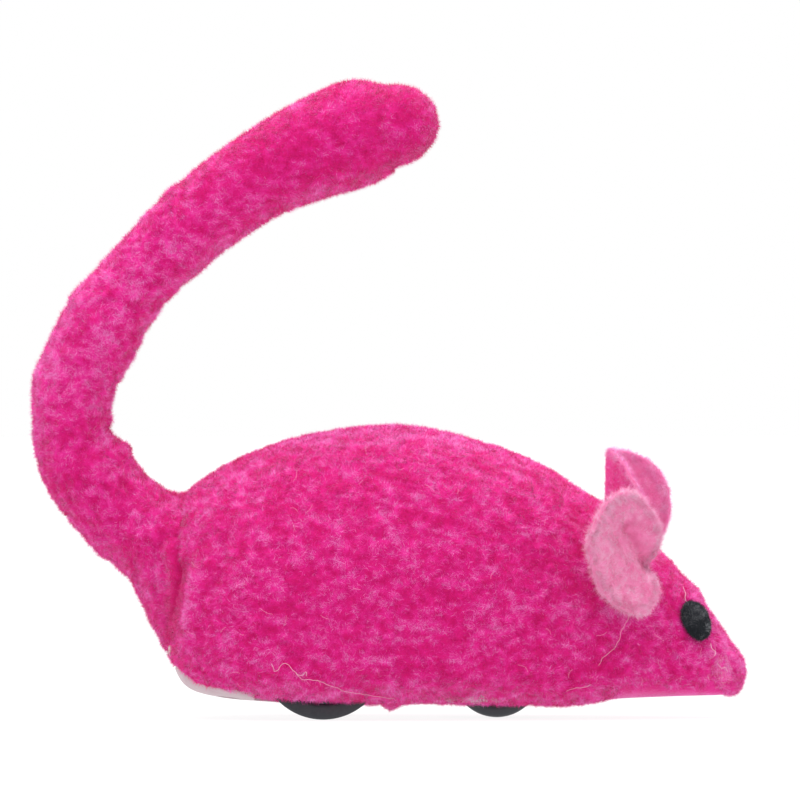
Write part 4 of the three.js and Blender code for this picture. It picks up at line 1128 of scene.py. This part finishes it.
def wheel_pair(side):
    """One rear wheel's rubber tyre and plastic wheel."""
    y0, y1 = (10.2, 13.2) if side > 0 else (-13.2, -10.2)
    x, z = REAR_AXLE
    tread = [(8.70, t) for t in (0.62, 1.02)] + [(8.56, 1.08), (8.56, 1.20), (8.70, 1.26), (8.70, 1.74)]
    tread += [(8.56, 1.80), (8.56, 1.92), (8.70, 1.98), (8.70, 2.38)]
    section_points = [(6.66, 0.06), (7.1, 0.0), (7.9, 0.0), (8.3, 0.08), (8.56, 0.28), *tread]
    section_points += [(8.56, 2.72), (8.3, 2.92), (7.9, 3.0), (7.1, 3.0), (6.66, 2.94)]
    tyre = lathe("tyre_" + SIDES[side], [(r, y0 + t) for r, t in section_points], x, z, tyre_rubber, 128)
    web = [(1.05, 0), (2.2, 0), (2.35, 0.12), (2.4, 0.9), (2.6, 1.0), (5.2, 1.0), (5.45, 0.85), (5.5, 0.2)]
    web += [(5.65, 0.05), (6.45, 0.05), (6.6, 0.2)]
    profile = web + [(r, 3.0 - t) for r, t in web[::-1]]
    wheel = lathe("wheel_" + SIDES[side], [(r, y0 + t) for r, t in profile], x, z, wheel_plastic, 96)
    return tyre, wheel


tyre_right, wheel_right = wheel_pair(-1)
tyre_left, wheel_left = wheel_pair(1)
web = [(0.99, -2.6), (2.05, -2.6), (2.2, -2.45), (2.2, -1.45), (2.35, -1.4), (4.2, -1.4), (4.4, -1.55)]
web += [(4.4, -1.9), (4.5, -2.0), (5.5, -2.0), (5.9, -1.86), (6.14, -1.5), (6.2, -1.0)]
wheel_front = lathe("wheel_front", web + [(r, -y) for r, y in web[::-1]], *FRONT_AXLE, wheel_plastic, 96)


# ---- winding key
def winding_key():
    """A moulded bar key with rounded edges and a sunk panel on each face, and its hub."""
    x, z = WINDING
    turn = np.linspace(0, 2 * np.pi, 160, endpoint=False)
    lobe, middle, straight, half = 2.1, 22.6, 5.3, 7.4
    px = np.clip(half * np.cos(turn) * 1.12, -straight, straight)
    way = np.stack([np.cos(turn), np.sin(turn)], -1)
    dense = np.stack([px, 0 * px], -1) + lobe * way
    flat_turn = np.abs(px) < straight
    dense[flat_turn, 1] = lobe * np.sign(way[flat_turn, 1])
    dense[:, 1] *= 1 - 0.16 * (1 - (dense[:, 0] / half) ** 2)
    side = unit(np.gradient(np.concatenate([dense[-1:], dense, dense[:1]]), axis=0)[1:-1])
    outward = np.stack([side[:, 1], -side[:, 0]], -1)
    levels = [(2.0, 0.62), (1.35, 0.62), (1.1, 0.68), (0.98, 0.98), (0.8, 1.08), (0.45, 1.1), (0.16, 0.98)]
    levels += [(0.02, 0.7), (0.0, 0.35)]
    levels = [(i, -h) for i, h in levels] + [(i, h) for i, h in levels[::-1]]
    rings = []
    for inset, height in levels:
        flat = dense - outward * inset
        if inset >= 2:
            flat = np.stack([np.clip(dense[:, 0], -straight, straight), 0 * dense[:, 0]], -1)
        rings.append(np.stack([x + flat[:, 0], middle + flat[:, 1], z + height + 0 * flat[:, 0]], -1))
    wings = make(
        "key_wings", np.array(rings), grid_faces(len(rings), len(turn), wrap=True), white_plastic,
        merge=0.01, turn=True,
    )
    profile = [(1.25, 16.6), (2.4, 16.6), (2.58, 16.75), (2.6, 17.0), (2.6, 19.9), (2.52, 20.15), (2.35, 20.3)]
    profile += [(2.3, 23.9), (2.15, 24.35), (1.7, 24.62), (1.0, 24.7), (0.005, 24.7)]
    profile += [(0.005, 23.1), (1.25, 23.1)]
    hub = lathe("key_hub", profile, x, z, white_plastic, 72)
    return wings, hub


key_wings, key_hub = winding_key()


def key_rim():
    """The fleece's edge, turned in round the key's hole."""
    turn = np.linspace(0, 2 * np.pi, 120, endpoint=False)
    loop = [(2.95, -1.25), (2.92, -0.5), (2.98, -0.1), (3.2, 0.1), (3.5, 0.12), (3.8, -0.1), (4.0, -0.5)]
    loop += [(4.0, -1.25), loop[0]]
    x, z = WINDING
    rings = np.array([flank(x + r * np.cos(turn), z + r * np.sin(turn), off, 1) for r, off in loop])
    rings[..., 1] += 0.12 * noise_a(rings, 0.7)
    rings[-1] = rings[0]
    obj = make(
        "fleece_key_rim", rings, grid_faces(len(rings), len(turn), wrap=True), fleece, merge=0.002, turn=True
    )
    spots = np.array([v.co for v in obj.data.vertices]) / MM
    mark(obj, "tone", tone_at(spots))
    mark(obj, "nap", 0.4 + 0 * spots[:, 0])
    return obj


key_edge = key_rim()


# ---- lint, stray threads and a bead of glue
def on_flank(points, off=0.35):
    """A path on the near side, from its x and z."""
    return np.array([flank(x, z, off) for x, z in points])


THREADS = [
    ("flank", [(-16.0, 7.9), (-15.5, 6.8), (-14.3, 7.9), (-13.4, 7.3), (-12.7, 6.6), (-11.8, 5.7), (-10.2, 5.6),
               (-8.1, 4.9), (-6.2, 4.1), (-3.0, 3.5), (0.9, 2.9)], 0.026, lint),
    ("flank_loop", [(-12.8, 6.5), (-11.9, 6.2), (-11.4, 6.7), (-11.2, 6.1)], 0.03, lint),
    ("cheek", [(32.9, 14.4), (32.5, 13.4), (31.7, 12.2), (31.6, 11.3), (31.1, 10.2), (30.2, 9.2), (29.2, 8.5),
               (28.6, 7.4)], 0.022, lint),
    ("chin", [(24.2, 3.9), (25.3, 4.3), (26.5, 4.4), (27.6, 4.8)], 0.025, lint),
    ("eye_top", [(40.3, 18.1), (40.6, 17.2), (40.7, 16.2), (41.1, 15.4)], 0.035, lint),
    ("eye_foot", [(44.1, 10.4), (44.3, 9.6), (44.7, 9.0), (44.6, 8.5)], 0.04, lint),
    ("snout", [(45.0, 7.6), (45.6, 6.9), (46.1, 7.0), (46.5, 6.3)], 0.03, lint),
]
threads = [
    tube("lint_" + name, on_flank(line), radius, material) for name, line, radius, material in THREADS
]


def scattered_lint():
    """Loose pink fibres caught in the nap, all over the body."""
    rng = np.random.default_rng(77)
    points, faces = [], []
    for _ in range(80):
        x = rng.uniform(-27, 46)
        crown, keel = (float(v) for v in station(x)[:2])
        z = rng.uniform(keel + 1.5, crown - 1.2)
        turn, length = rng.uniform(0, 2 * np.pi), rng.uniform(0.6, 1.8)
        curl = rng.uniform(-0.9, 0.9)
        side = -1 if rng.random() < 0.55 else 1
        line = []
        for t in np.linspace(0, 1, 6):
            a = turn + curl * t
            line.append((x + length * t * math.cos(a), z + length * t * math.sin(a)))
        line = np.array([flank(px, min(pz, float(station(px)[0]) - 0.5), 0.5, side) for px, pz in line])
        way = unit(np.gradient(line, axis=0))
        across = unit(np.cross(way, [0, side, 0.3])) * 0.014
        base = len(points)
        for a, b in zip(line + across, line - across):
            points += [a, b]
        faces += [[base + 2 * i, base + 2 * i + 1, base + 2 * i + 3, base + 2 * i + 2] for i in range(5)]
    return make("lint_scattered", points, faces, lint_pink)


threads.append(scattered_lint())


def glue_bead():
    """A lump of dried glue at the tail's foot."""
    bm = bmesh.new()
    bmesh.ops.create_icosphere(bm, subdivisions=4, radius=1)
    points = np.array([v.co for v in bm.verts])
    faces = [[v.index for v in f.verts] for f in bm.faces]
    bm.free()
    points = points * (1 + 0.35 * noise_a(points, 0.8) + 0.15 * noise_b(points, 0.35))[:, None]
    return make("glue_bead", points * np.array([0.8, 1.6, 1.0]) + np.array([-29.6, -5.6, 9.1]), faces, glue)


bead = glue_bead()


# ---- fuzz on the eyes
eye_pieces = []
face = EYE_RINGS + EYE_RIM
for side, grid, lift in (("right", eye_grid, eye_lift), ("left", eye_grid_left, eye_lift_left)):
    eye_pieces.append(
        pile(
            f"felt_eye_{side}_fuzz", grid[:face], lift[:face], 5200, 401, (0.2, 0.55), (25, 82), 0.035,
            [dark_fibre, dark_fibre, dark_fibre, lint_grey], wrap=True,
        )
    )
    eye_pieces.append(
        pile(
            f"felt_eye_{side}_hairs", grid[:20], lift[:20], 240, 402, (0.25, 0.7), (40, 84), 0.018, [lint_grey],
            wrap=True, keep=lambda m: (m[:, 0] < 42.6) & (m[:, 2] > 12.6),
        )
    )

# What each piece moves with.
on_chassis = [fleece_body, *naps, *ear_pieces, eye_right, eye_left, *eye_pieces, tray, key_edge, *threads, bead]
for piece in on_chassis:
    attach(piece, "chassis")
for piece in (tyre_right, tyre_left, wheel_right, wheel_left):
    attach(piece, "rear_wheels")
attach(wheel_front, "front_wheel")
for piece in (key_wings, key_hub):
    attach(piece, "winding")
for piece in tail_pieces:
    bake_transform(piece)


# ---- stage, camera and light
def soft_sun(name, way, strength, angle):
    """A large soft lamp far off, in the direction of way."""
    data = bpy.data.lights.new(name, "SUN")
    data.energy = strength
    data.angle = math.radians(angle)
    obj = bpy.data.objects.new(name, data)
    bpy.context.scene.collection.objects.link(obj)
    obj.location = Vector(way)
    obj.rotation_euler = Vector(way).to_track_quat("Z", "Y").to_euler()


floor_material, _, bsdf = shader("floor")
fix(bsdf, {"Base Color": (0.12, 0.12, 0.12, 1), "Roughness": 0.9, "Specular IOR Level": 0.1})
fix(bsdf, {"Emission Color": (1, 1, 1, 1), "Emission Strength": 0.88})
FLOOR_HALF = 4000
corners = [[x * FLOOR_HALF, y * FLOOR_HALF, 0] for x, y in ((-1, -1), (1, -1), (1, 1), (-1, 1))]
floor = make("floor", corners, [[0, 1, 2, 3]], floor_material, flat=True)
world = bpy.data.worlds.new("studio")
bpy.context.scene.world = world
world.use_nodes = True
fix(world.node_tree.nodes["Background"], {"Color": (1, 1, 1, 1), "Strength": 1.0})
soft_sun("key", (-0.10, -0.10, 1.0), 1.8, 50)
soft_sun("back", (0.1, 0.9, 0.8), 1.2, 60)
bpy.context.scene.view_settings.view_transform = "Standard"

camera_data = bpy.data.cameras.new("camera")
camera = bpy.data.objects.new("camera", camera_data)
bpy.context.scene.collection.objects.link(camera)
bpy.context.scene.camera = camera
AIM, DISTANCE, RISE = Vector((0.0015, 0, 0.0436)), 2.0, math.radians(0.4)
SENSOR, VIEW_WIDTH = 36, 0.110
camera.location = AIM + Vector((0, -math.cos(RISE), math.sin(RISE))) * DISTANCE
camera.rotation_euler = (AIM - camera.location).to_track_quat("-Z", "Y").to_euler()
camera_data.sensor_width = SENSOR
camera_data.lens = SENSOR * DISTANCE / VIEW_WIDTH
camera_data.clip_start, camera_data.clip_end = 0.05, 20

# ---- what stands for what
for piece, node in (
    (fleece_body, "fleece_cover"),
    (fleece_tail, "tail_cover"),
    (ear_right, "ear_right"),
    (ear_left, "ear_left"),
    (eye_right, "eye_right"),
    (eye_left, "eye_left"),
    (tray, "base_tray"),
    (tyre_right, "rear_tyre_right"),
    (tyre_left, "rear_tyre_left"),
    (wheel_right, "rear_wheel_right"),
    (wheel_left, "rear_wheel_left"),
    (wheel_front, "front_wheel"),
    (key_wings, "winding_key"),
):
    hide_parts(node)
